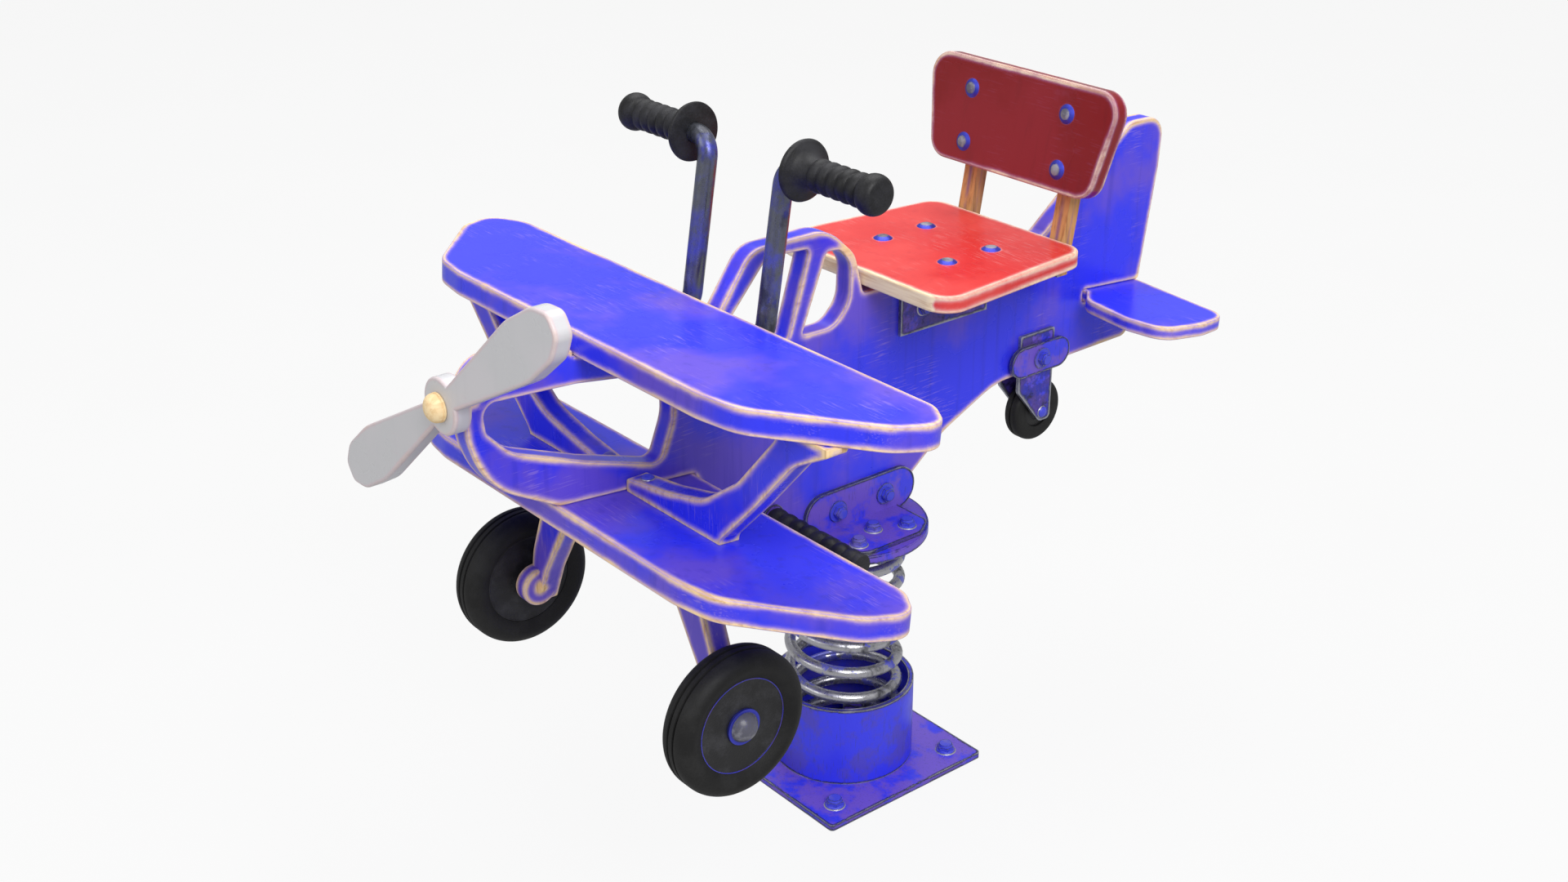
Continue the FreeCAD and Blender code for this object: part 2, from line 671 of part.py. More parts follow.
def hub_disc():
    """The wheel's centre, sunk on both faces, turning on the axle."""
    bore = AXLE_R + RUNNING
    low = WHEEL_IN + HUB_SINK
    high = WHEEL_OUT - HUB_SINK
    boss = 22
    points = [(WHEEL_IN + 1, bore), (WHEEL_IN + 1, boss), (low, boss), (low, HUB_DISC_R),
              (high, HUB_DISC_R), (high, bore)]
    return revolve_about_y(points, WHEEL_X, WHEEL_Z)


def axle_bolt():
    """The front axle: a coach screw into the leg, with a domed head and a washer."""
    head_y = WHEEL_OUT - HUB_SINK + GAP
    ring = Part.makeCylinder(23, 3, Vector(WHEEL_X, head_y, WHEEL_Z), Y_AXIS)
    cap = dome(19, 14, (WHEEL_X, head_y + 3, WHEEL_Z), (0, 1, 0))
    shank = rod(AXLE_R, (WHEEL_X, AXLE_END, WHEEL_Z), (WHEEL_X, head_y, WHEEL_Z))
    return ring.fuse([cap, shank]).removeSplitter()


# ------------------------------------------------------------------ propeller
def propeller():
    """A two-bladed board with a round middle."""
    half = [(10, 12, 1), (60, 18, 90), (205, 35, 120), (266, 30, 40), (PROP_REACH, 13, 14)]
    outline = half + [(u, -v, r) for u, v, r in reversed(half)]
    depth = Vector(PROP_BOARD, 0, 0)
    blade = eased(board(rounded_wire(outline, in_yz(PROP_X)), depth), ARRIS * 1.5)
    other = blade.copy()
    other.rotate(Vector(0, 0, 0), X_AXIS, 180)
    hub = rod(PROP_HUB_R, (PROP_X, 0, 0), (PROP_X + PROP_BOARD, 0, 0))
    hub = hub.makeFillet(ARRIS * 1.5, [edge for edge in hub.Edges if len(edge.Vertexes) == 1])
    bore = rod(PROP_SHAFT_R + RUNNING, (PROP_X - 1, 0, 0), (PROP_X + PROP_BOARD + 1, 0, 0))
    whole = hub.fuse([blade, other]).removeSplitter().cut(bore)
    whole.rotate(Vector(0, 0, 0), X_AXIS, PROP_TURN)
    whole.translate(Vector(0, 0, PROP_Z))
    return whole


def propeller_shaft():
    """The fixed pin that the propeller turns on, with its collar on the nose."""
    pin = rod(PROP_SHAFT_R, (NOSE_X - 20, 0, PROP_Z), (PROP_X + PROP_BOARD, 0, PROP_Z))
    collar = rod(14, (NOSE_X + 0.2, 0, PROP_Z), (PROP_X - GAP, 0, PROP_Z))
    return pin.fuse(collar).removeSplitter()


def propeller_cap():
    """The round wooden cap over the shaft's end."""
    return dome(CAP_R, CAP_R * 0.98, (PROP_X + PROP_BOARD + GAP, 0, PROP_Z), (1, 0, 0))


# ------------------------------------------------------------------ seat
def seat():
    """The seat board, wider at its front."""
    corners = [(SEAT_FRONT_X, SEAT_FRONT_HALF, 34), (SEAT_REAR_X, SEAT_REAR_HALF, 30),
               (SEAT_REAR_X, -SEAT_REAR_HALF, 30), (SEAT_FRONT_X, -SEAT_FRONT_HALF, 34)]
    plank = board(rounded_wire(corners, in_xy(SEAT_TOP - SEAT_BOARD)), Vector(0, 0, SEAT_BOARD))
    plank = eased(plank, ARRIS * 1.5)
    for x in SEAT_BOLT_X:
        for _, side in SIDES:
            y = side * SEAT_BOLT_Y
            plank = plank.cut(rod(LEAF_BOLT_R + HOLE_PLAY, (x, y, SEAT_TOP - SEAT_BOARD), (x, y, SEAT_TOP)))
    return plank


def seat_side_bolt_z():
    """Height of the bolts through the seat brackets' upright leaves."""
    return SEAT_LEAF_Z - SEAT_LEAF_DROP * 0.62


def seat_bracket():
    """The left angle bracket under the seat."""
    face = SKIN + GAP
    rear = SEAT_LEAF_X[1]
    front = SEAT_LEAF_X[0]
    upright = box((rear, face, SEAT_LEAF_Z - SEAT_LEAF_DROP), (front, face + SEAT_PLATE, SEAT_LEAF_Z))
    flat = box((rear, face, SEAT_LEAF_Z - SEAT_PLATE), (front, SEAT_LEAF_OUT, SEAT_LEAF_Z))
    bracket = upright.fuse(flat).removeSplitter()
    z = seat_side_bolt_z()
    for x in SEAT_BOLT_X:
        bracket = bracket.cut(rod(LEAF_BOLT_R + HOLE_PLAY, (x, face - 1, z), (x, face + SEAT_PLATE + 1, z)))
        bracket = bracket.cut(rod(LEAF_BOLT_R + HOLE_PLAY, (x, SEAT_BOLT_Y, SEAT_LEAF_Z - SEAT_PLATE - 1),
                                  (x, SEAT_BOLT_Y, SEAT_LEAF_Z + 1)))
    return bracket


def seat_bolts():
    """Domed bolts down through the seat and its brackets, with nuts below."""
    solids = []
    for x in SEAT_BOLT_X:
        for _, side in SIDES:
            y = side * SEAT_BOLT_Y
            under = SEAT_LEAF_Z - SEAT_PLATE
            bolt = dome(13, 5, (x, y, SEAT_TOP), (0, 0, 1))
            bolt = bolt.fuse(rod(LEAF_BOLT_R, (x, y, under), (x, y, SEAT_TOP)))
            bolt = bolt.fuse(hexagon(17, 8, (x, y, under), (0, 0, -1)))
            solids.append(bolt.removeSplitter())
    return group(solids)


def seat_side_bolts():
    """Two bolts across the fuselage through both seat brackets."""
    solids = []
    face = SKIN + GAP + SEAT_PLATE
    z = seat_side_bolt_z()
    for x in SEAT_BOLT_X:
        bolt = hex_bolt(LEAF_BOLT_R, 17, 9, 2 * face, (x, face, z), (0, 1, 0), 12)
        bolt = bolt.fuse(hexagon(17, 9, (x, -face, z), (0, -1, 0)))
        solids.append(bolt.removeSplitter())
    return group(solids)


# ------------------------------------------------------------------ backrest
def lean(shape):
    """Turns a piece modelled upright to the backrest's lean."""
    turned = shape.copy()
    turned.rotate(Vector(BACK_FOOT_X, 0, BACK_FOOT_Z), Y_AXIS, -BACK_LEAN)
    return turned


def backrest():
    """The back board, wider at its top."""
    low = BACK_FOOT_Z
    high = BACK_FOOT_Z + BACK_TALL
    corners = [(BACK_TOP_HALF, high, 32), (-BACK_TOP_HALF, high, 32),
               (-BACK_FOOT_HALF, low, 30), (BACK_FOOT_HALF, low, 30)]
    plank = board(rounded_wire(corners, in_yz(BACK_FOOT_X - BACK_BOARD)), Vector(BACK_BOARD, 0, 0))
    plank = eased(plank, ARRIS * 1.5)
    for y, z in back_bolt_places():
        plank = plank.cut(rod(LEAF_BOLT_R + HOLE_PLAY, (BACK_FOOT_X - BACK_BOARD, y, z), (BACK_FOOT_X, y, z)))
    return lean(plank)


def back_bolt_places():
    """The four bolt places on the upright back board."""
    return [(side * BACK_BOLT_Y, BACK_FOOT_Z + up) for _, side in SIDES for up in BACK_BOLT_UP]


def back_upright():
    """The left post behind the backrest, which bears on the seat's rear edge."""
    front = BACK_FOOT_X - BACK_BOARD - GAP
    low = (BACK_BOLT_Y - UPRIGHT_WIDE / 2, BACK_FOOT_Z - 140)
    high = (BACK_BOLT_Y + UPRIGHT_WIDE / 2, BACK_FOOT_Z + BACK_BOLT_UP[1] + 16)
    post = box((front - UPRIGHT_DEEP, low[0], low[1]), (front, high[0], high[1]))
    for up in BACK_BOLT_UP:
        z = BACK_FOOT_Z + up
        post = post.cut(rod(LEAF_BOLT_R + HOLE_PLAY, (front - UPRIGHT_DEEP - 1, BACK_BOLT_Y, z),
                            (front + 1, BACK_BOLT_Y, z)))
    post = lean(post)
    rear = SEAT_REAR_X - GAP
    keep = box((rear - 60, 0, UPRIGHT_FOOT_Z), (rear, 200, BACK_FOOT_Z + 200))
    return post.common(keep)


def back_foot_z():
    """Height of the bolts through the posts' feet."""
    return (UPRIGHT_FOOT_Z + SEAT_LEAF_Z) / 2


def back_brackets():
    """The small angles that tie the posts to the seat."""
    rear = SEAT_REAR_X - GAP
    low_y = BACK_BOLT_Y - UPRIGHT_WIDE / 2
    high_y = BACK_BOLT_Y + UPRIGHT_WIDE / 2
    flat = box((rear, low_y, SEAT_LEAF_Z - SEAT_PLATE), (rear + 50, high_y, SEAT_LEAF_Z))
    drop = box((rear, low_y, UPRIGHT_FOOT_Z), (rear + SEAT_PLATE, high_y, SEAT_LEAF_Z))
    bracket = flat.fuse(drop).removeSplitter()
    z = back_foot_z()
    bracket = bracket.cut(rod(4 + HOLE_PLAY, (rear - 1, BACK_BOLT_Y, z), (rear + 9, BACK_BOLT_Y, z)))
    x = rear + 32
    hole = rod(4 + HOLE_PLAY, (x, BACK_BOLT_Y, SEAT_LEAF_Z - 9), (x, BACK_BOLT_Y, SEAT_LEAF_Z + 1))
    bracket = bracket.cut(hole)
    return group([on_side(bracket, side) for _, side in SIDES])


def back_bracket_screws():
    """One screw up into the seat and one back into the post, on each side."""
    solids = []
    rear = SEAT_REAR_X - GAP
    z = back_foot_z()
    for _, side in SIDES:
        y = side * BACK_BOLT_Y
        front = rear + SEAT_PLATE
        post_screw = dome(8, 3.5, (front, y, z), (1, 0, 0)).fuse(rod(4, (rear, y, z), (front, y, z)))
        under = SEAT_LEAF_Z - SEAT_PLATE
        seat_screw = dome(8, 3.5, (rear + 32, y, under), (0, 0, -1))
        seat_screw = seat_screw.fuse(rod(4, (rear + 32, y, under), (rear + 32, y, SEAT_LEAF_Z)))
        solids += [post_screw.removeSplitter(), seat_screw.removeSplitter()]
    return group(solids)


def back_bolts():
    """Four domed bolts through the backrest and its posts, with nuts behind."""
    solids = []
    front = BACK_FOOT_X
    rear = front - BACK_BOARD - GAP - UPRIGHT_DEEP
    for y, z in back_bolt_places():
        bolt = dome(13, 5, (front, y, z), (1, 0, 0)).fuse(rod(LEAF_BOLT_R, (rear, y, z), (front, y, z)))
        bolt = bolt.fuse(hexagon(17, 8, (rear, y, z), (-1, 0, 0)))
        solids.append(lean(bolt.removeSplitter()))
    return group(solids)


# ------------------------------------------------------------------ handles
def handle_path():
    """The left tube's middle line, from under the upper wing to the grip's end."""
    lean_run = math.tan(math.radians(POST_LEAN))
    axis_drop = BOARD + GAP + TUBE_R / math.cos(math.radians(WING_TILT))
    under = TOP_WING_Z - axis_drop
    corner_x = GRIP_X + lean_run * (GRIP_Z - wing_z(under, 200))
    low = Vector(corner_x, POST_Y, wing_z(under, corner_x))
    start = Vector(TUBE_END_X, POST_Y, wing_z(under, TUBE_END_X))
    high = Vector(GRIP_X, POST_Y, GRIP_Z)
    end = Vector(GRIP_X, GRIP_OUT - 6, GRIP_Z)
    return [start, low, high, end]


def bent_rod(points, radii, radius):
    """A round bar along straight runs joined by arcs."""
    edges = []
    last = points[0]
    for i in range(1, len(points) - 1):
        before = points[i - 1].sub(points[i])
        after = points[i + 1].sub(points[i])
        half = before.getAngle(after) / 2
        setback = radii[i - 1] / math.tan(half)
        inward = (before.normalize() + after.normalize()).normalize()
        start = points[i] + before * setback
        middle = points[i] + inward * (radii[i - 1] / math.sin(half) - radii[i - 1])
        end = points[i] + after * setback
        edges.append(Part.LineSegment(last, start).toShape())
        edges.append(Part.Arc(start, middle, end).toShape())
        last = end
    edges.append(Part.LineSegment(last, points[-1]).toShape())
    section = Part.Wire([Part.makeCircle(radius, points[0], points[1].sub(points[0]))])
    return Part.Wire(edges).makePipeShell([section], True, True)


def handle_tube():
    """The left handle: a bent tube from the upper wing's underside to the grip."""
    path = handle_path()
    return bent_rod(path, [TUBE_BEND, TUBE_R * 2], TUBE_R)


def clamp_places():
    """Where the straps hold each tube under the upper wing."""
    return (TUBE_END_X - 74, TUBE_END_X - 16)


def handle_clamps():
    """Saddle straps that hold the handle tubes under the upper wing."""
    straps = []
    under = TOP_WING_Z - BOARD_DROP - GAP
    axis_z = under - TUBE_R
    outer = TUBE_R + STRAP
    bore = TUBE_R + GAP
    for x in clamp_places():
        for _, side in SIDES:
            y = side * POST_Y
            low = x - STRAP_LONG / 2
            high = x + STRAP_LONG / 2
            hoop = rod(outer, (low, y, axis_z), (high, y, axis_z))
            hoop = hoop.common(box((low, y - outer, axis_z - outer), (high, y + outer, axis_z)))
            walls = box((low, y - outer, axis_z), (high, y + outer, under))
            feet = box((low, y - outer - STRAP_FOOT, under - STRAP), (high, y + outer + STRAP_FOOT, under))
            strap = hoop.fuse([walls, feet]).removeSplitter()
            strap = strap.cut(rod(bore, (low, y, axis_z), (high, y, axis_z)))
            strap = strap.cut(box((low, y - bore, axis_z), (high, y + bore, under)))
            straps.append(tilted_at(strap, x, under))
    return group(straps)


def tilted_at(shape, x, level):
    """A level piece moved to the wings' tilted plane at x and turned with it."""
    moved = shape.copy()
    moved.translate(Vector(0, 0, wing_z(level, x) - level))
    moved.rotate(Vector(x, 0, wing_z(level, x)), Y_AXIS, -WING_TILT)
    return moved


def clamp_screws():
    """Two round-headed screws in each strap."""
    screws = []
    under = TOP_WING_Z - BOARD_DROP - GAP
    for x in clamp_places():
        for _, side in SIDES:
            for reach in (-1, 1):
                y = side * POST_Y + reach * (TUBE_R + STRAP + STRAP_FOOT / 2)
                screw = dome(6, 3.5, (x, y, under - STRAP), (0, 0, -1))
                screws.append(tilted_at(screw, x, under))
    return group(screws)


def grip():
    """The left rubber grip: a flange, a ribbed body and a round end."""
    bore = TUBE_R + GAP
    points = [(GRIP_IN, bore), (GRIP_IN, GRIP_FLANGE_R - 2), (GRIP_IN + 2, GRIP_FLANGE_R),
              (GRIP_IN + 6, GRIP_FLANGE_R), (GRIP_IN + 9, GRIP_FLANGE_R - 6), (GRIP_IN + 13, GRIP_BODY_R + 4),
              (GRIP_IN + 22, GRIP_BODY_R)]
    start = GRIP_IN + 30
    pitch = (GRIP_OUT - 30 - start) / GRIP_RIBS
    for i in range(GRIP_RIBS):
        y = start + i * pitch
        points += [(y, GRIP_BODY_R), (y + pitch * 0.25, GRIP_BODY_R + 3), (y + pitch * 0.75, GRIP_BODY_R + 3),
                   (y + pitch * 0.98, GRIP_BODY_R)]
    points += [(GRIP_OUT - 25, GRIP_BODY_R), (GRIP_OUT - 19, 23), (GRIP_OUT - 12, 24.5), (GRIP_OUT - 5, 21),
               (GRIP_OUT, 14), (GRIP_OUT, 0), (GRIP_OUT - 5, 0), (GRIP_OUT - 5, bore)]
    return revolve_about_y(points, GRIP_X, GRIP_Z)


# ------------------------------------------------------------------ foot rest
def peg_rod():
    """The steel bar across the fuselage that carries the foot rests."""
    return rod(PEG_ROD_R, (PEG_X, 4 - PEG_OUT, PEG_Z), (PEG_X, PEG_OUT - 4, PEG_Z))


def foot_rest():
    """The left rubber sleeve, with rings along it and a closed end."""
    bore = PEG_ROD_R + GAP
    pitch = (PEG_OUT - PEG_IN) / PEG_RINGS
    points = [(PEG_IN, bore)]
    for i in range(PEG_RINGS):
        y = PEG_IN + i * pitch
        points += [(y, PEG_R - PEG_GROOVE), (y + pitch * 0.2, PEG_R), (y + pitch * 0.8, PEG_R)]
    points += [(PEG_OUT, PEG_R - PEG_GROOVE), (PEG_OUT, 0), (PEG_OUT - 3, 0), (PEG_OUT - 3, bore)]
    return revolve_about_y(points, PEG_X, PEG_Z)


# ------------------------------------------------------------------ tail wheel
def fork_plate():
    """The left cheek of the tail wheel's fork."""
    face = SKIN + GAP
    corners = [(FORK_FRONT_X, FORK_TOP_Z, 3), (FORK_REAR_X, FORK_TOP_Z, 3),
               (FORK_REAR_X, TAIL_WHEEL_Z - 13, 8), (TAIL_WHEEL_X + 6, TAIL_WHEEL_Z - 13, 12),
               (FORK_FRONT_X, 480, 8)]
    plate = board(rounded_wire(corners, in_xz(face)), Vector(0, FORK_PLATE, 0))
    plate = plate.cut(rod(TAIL_AXLE_R + HOLE_PLAY, (TAIL_WHEEL_X, face - 1, TAIL_WHEEL_Z),
                          (TAIL_WHEEL_X, face + FORK_PLATE + 1, TAIL_WHEEL_Z)))
    return plate.cut(rod(LEAF_BOLT_R + HOLE_PLAY, (TAIL_LINK_X, face - 1, TAIL_LINK_Z),
                         (TAIL_LINK_X, face + FORK_PLATE + 1, TAIL_LINK_Z)))


def tail_link():
    """The left plate with round ends that presses the fork's cheek to the fuselage."""
    face = SKIN + GAP + FORK_PLATE + GAP
    wire = leaf_outline(TAIL_LINK_LONG, TAIL_LINK_TALL, TAIL_LINK_X, TAIL_LINK_Z, face)
    plate = board(wire, Vector(0, TAIL_LINK_PLATE, 0))
    return plate.cut(rod(LEAF_BOLT_R + HOLE_PLAY, (TAIL_LINK_X, face - 1, TAIL_LINK_Z),
                         (TAIL_LINK_X, face + TAIL_LINK_PLATE + 1, TAIL_LINK_Z)))


def tail_bolt():
    """The bolt through the fuselage, both cheeks and both plates, with its washers."""
    face = SKIN + 2 * GAP + FORK_PLATE + TAIL_LINK_PLATE
    start = (TAIL_LINK_X, face + WASHER, TAIL_LINK_Z)
    bolt = hex_bolt(LEAF_BOLT_R, 17, 10, 2 * (face + WASHER), start, (0, 1, 0))
    bolt = bolt.fuse(hexagon(17, 10, (TAIL_LINK_X, -face - WASHER, TAIL_LINK_Z), (0, -1, 0)))
    solids = [bolt.removeSplitter()]
    for _, side in SIDES:
        solids.append(washer(LEAF_BOLT_R, 15, WASHER, (TAIL_LINK_X, side * face, TAIL_LINK_Z), (0, side, 0)))
    return group(solids)


def tail_tyre():
    """The tail wheel's rubber ring."""
    half = TAIL_WHEEL_WIDE / 2
    r = TAIL_WHEEL_R
    points = [(-half, TAIL_HUB_R), (half, TAIL_HUB_R), (half, r - 7), (half - 3, r - 2), (half - 7, r),
              (2, r), (0, r - 3), (-2, r), (7 - half, r), (3 - half, r - 2), (-half, r - 7)]
    return revolve_about_y(points, TAIL_WHEEL_X, TAIL_WHEEL_Z)


def tail_hub():
    """The tail wheel's centre."""
    half = TAIL_WHEEL_WIDE / 2
    bore = TAIL_AXLE_R + RUNNING
    points = [(-half - 1, bore), (-half - 1, 12), (3 - half, 14), (3 - half, TAIL_HUB_R),
              (half - 3, TAIL_HUB_R), (half - 3, 14), (half + 1, 12), (half + 1, bore)]
    return revolve_about_y(points, TAIL_WHEEL_X, TAIL_WHEEL_Z)


def tail_axle():
    """The tail wheel's pin, with a low round head at each end."""
    face = SKIN + GAP + FORK_PLATE
    pin = rod(TAIL_AXLE_R, (TAIL_WHEEL_X, -face, TAIL_WHEEL_Z), (TAIL_WHEEL_X, face, TAIL_WHEEL_Z))
    for _, side in SIDES:
        pin = pin.fuse(dome(9, 5, (TAIL_WHEEL_X, side * face, TAIL_WHEEL_Z), (0, side, 0)))
    return pin.removeSplitter()


# ------------------------------------------------------------------ wing fastenings
def strut_bolts():
    """A domed bolt down through each strut's toe into the lower wing."""
    x = STRUT_FRONT_X - BOARD / 2
    shank = rod(STRUT_BOLT_R, strut_bolt_end(), (x, STRUT_BOLT_Y, STRUT_BOLT_Z))
    bolt = shank.fuse(dome(9, 5, (x, STRUT_BOLT_Y, STRUT_BOLT_Z), (0, 0, 1))).removeSplitter()
    return group([on_side(bolt, side) for _, side in SIDES])


def wing_bolts():
    """Hexagon bolts up through the lower wing into the fuselage, struts and legs."""
    solids = []
    level = LOW_WING_Z - BOARD_DROP
    for x in (LOW_WING_X + 40, LOW_WING_X + 160):
        solids.append(tilted_at(hexagon(17, 8, (x, 0, level), (0, 0, -1)), x, level))
    return group(solids)


# ------------------------------------------------------------------ all the pieces
def pieces():
    """Every node's name with its shape."""
    nodes = {
        "base_plate": base_plate(), "spring_cup": spring_cup(), "anchor_bolts": anchor_bolts(),
        "lower_clamps": lower_clamps(), "coil_spring": coil_spring(), "upper_clamps": upper_clamps(),
        "top_disc": top_disc(), "bracket_bolts": bracket_bolts(), "disc_bolts": disc_bolts(),
        "fuselage": fuselage(), "upper_wing": upper_wing(), "lower_wing": lower_wing(),
        "tailplane": tailplane(), "strut_bolts": strut_bolts(), "wing_bolts": wing_bolts(),
        "propeller": propeller(), "propeller_shaft": propeller_shaft(), "propeller_cap": propeller_cap(),
        "seat": seat(), "seat_bolts": seat_bolts(), "seat_side_bolts": seat_side_bolts(),
        "backrest": backrest(), "back_bracket_screws": back_bracket_screws(), "back_bolts": back_bolts(),
        "handle_clamps": handle_clamps(), "clamp_screws": clamp_screws(), "foot_peg_rod": peg_rod(),
        "tail_bolt": tail_bolt(), "tail_tyre": tail_tyre(), "tail_hub": tail_hub(), "tail_axle": tail_axle(),
        "peg_collars": peg_collars(), "back_brackets": back_brackets(),
    }
    pairs = {
        "spring_bracket": spring_bracket(), "strut": strut(), "leg": leg(), "front_tyre": tyre(),
        "front_hub": hub_disc(), "front_axle": axle_bolt(), "seat_bracket": seat_bracket(),
        "back_upright": back_upright(), "handle_tube": handle_tube(),
        "grip": grip(), "foot_rest": foot_rest(), "fork_plate": fork_plate(),
        "tail_link": tail_link(),
    }
    for name, shape in pairs.items():
        for word, side in SIDES:
            nodes[name + "_" + word] = on_side(shape, side)
    return nodes


def main():
    """Builds every piece and writes one STEP file each."""
    os.makedirs("parts", exist_ok=True)
    for name, shape in pieces().items():
        if not shape.isValid():
            print("not valid:", name)
        shape.exportStep("parts/" + name + ".step")
        print(name, len(shape.Solids), round(shape.Volume / 1000.0, 1))


main()
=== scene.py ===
"""Looks of a biplane-shaped playground spring rider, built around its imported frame."""
import json
import logging
import math
from dataclasses import dataclass
from enum import Enum
from typing import List, Sequence, Tuple

import bpy
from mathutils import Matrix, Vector


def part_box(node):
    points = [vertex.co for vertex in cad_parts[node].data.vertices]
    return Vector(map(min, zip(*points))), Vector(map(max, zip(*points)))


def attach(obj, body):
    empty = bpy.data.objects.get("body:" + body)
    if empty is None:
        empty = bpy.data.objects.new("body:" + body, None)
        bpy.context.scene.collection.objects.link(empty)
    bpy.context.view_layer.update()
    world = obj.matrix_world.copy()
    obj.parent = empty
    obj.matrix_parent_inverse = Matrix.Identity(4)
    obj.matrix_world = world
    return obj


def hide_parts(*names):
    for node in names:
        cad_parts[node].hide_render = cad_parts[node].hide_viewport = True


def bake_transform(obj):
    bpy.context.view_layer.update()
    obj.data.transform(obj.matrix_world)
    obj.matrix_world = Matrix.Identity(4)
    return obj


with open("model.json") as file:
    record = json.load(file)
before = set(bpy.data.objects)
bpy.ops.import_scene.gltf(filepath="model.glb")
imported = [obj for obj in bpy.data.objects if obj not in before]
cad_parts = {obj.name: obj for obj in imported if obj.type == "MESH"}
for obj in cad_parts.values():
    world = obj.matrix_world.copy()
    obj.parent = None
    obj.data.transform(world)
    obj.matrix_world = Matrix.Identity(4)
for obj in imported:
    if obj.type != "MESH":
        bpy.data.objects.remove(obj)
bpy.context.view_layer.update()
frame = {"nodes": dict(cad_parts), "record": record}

log = logging.getLogger("spring_rider")

Colour = Tuple[float, float, float]
Point = Tuple[float, float, float]
Profile = Sequence[Tuple[float, float]]
Corners = List[Tuple[float, float]]
MM = 0.001
ALONG_Y: Point = (0.0, 1.0, 0.0)
ALONG_X: Point = (1.0, 0.0, 0.0)
# The colour sockets of a mix node, which has others for numbers and vectors.
MIX_FIRST, MIX_SECOND, MIX_RESULT = 6, 7, 2


class Grain(Enum):
    """The way the wood runs in a board, as stretch factors for its pattern."""

    ALONG_X = (0.06, 1.0, 1.0)
    ALONG_Y = (1.0, 0.06, 1.0)
    ALONG_Z = (1.0, 1.0, 0.06)


class Side(Enum):
    """The rider's two sides, as the nodes and bodies name them."""

    LEFT = "left"
    RIGHT = "right"


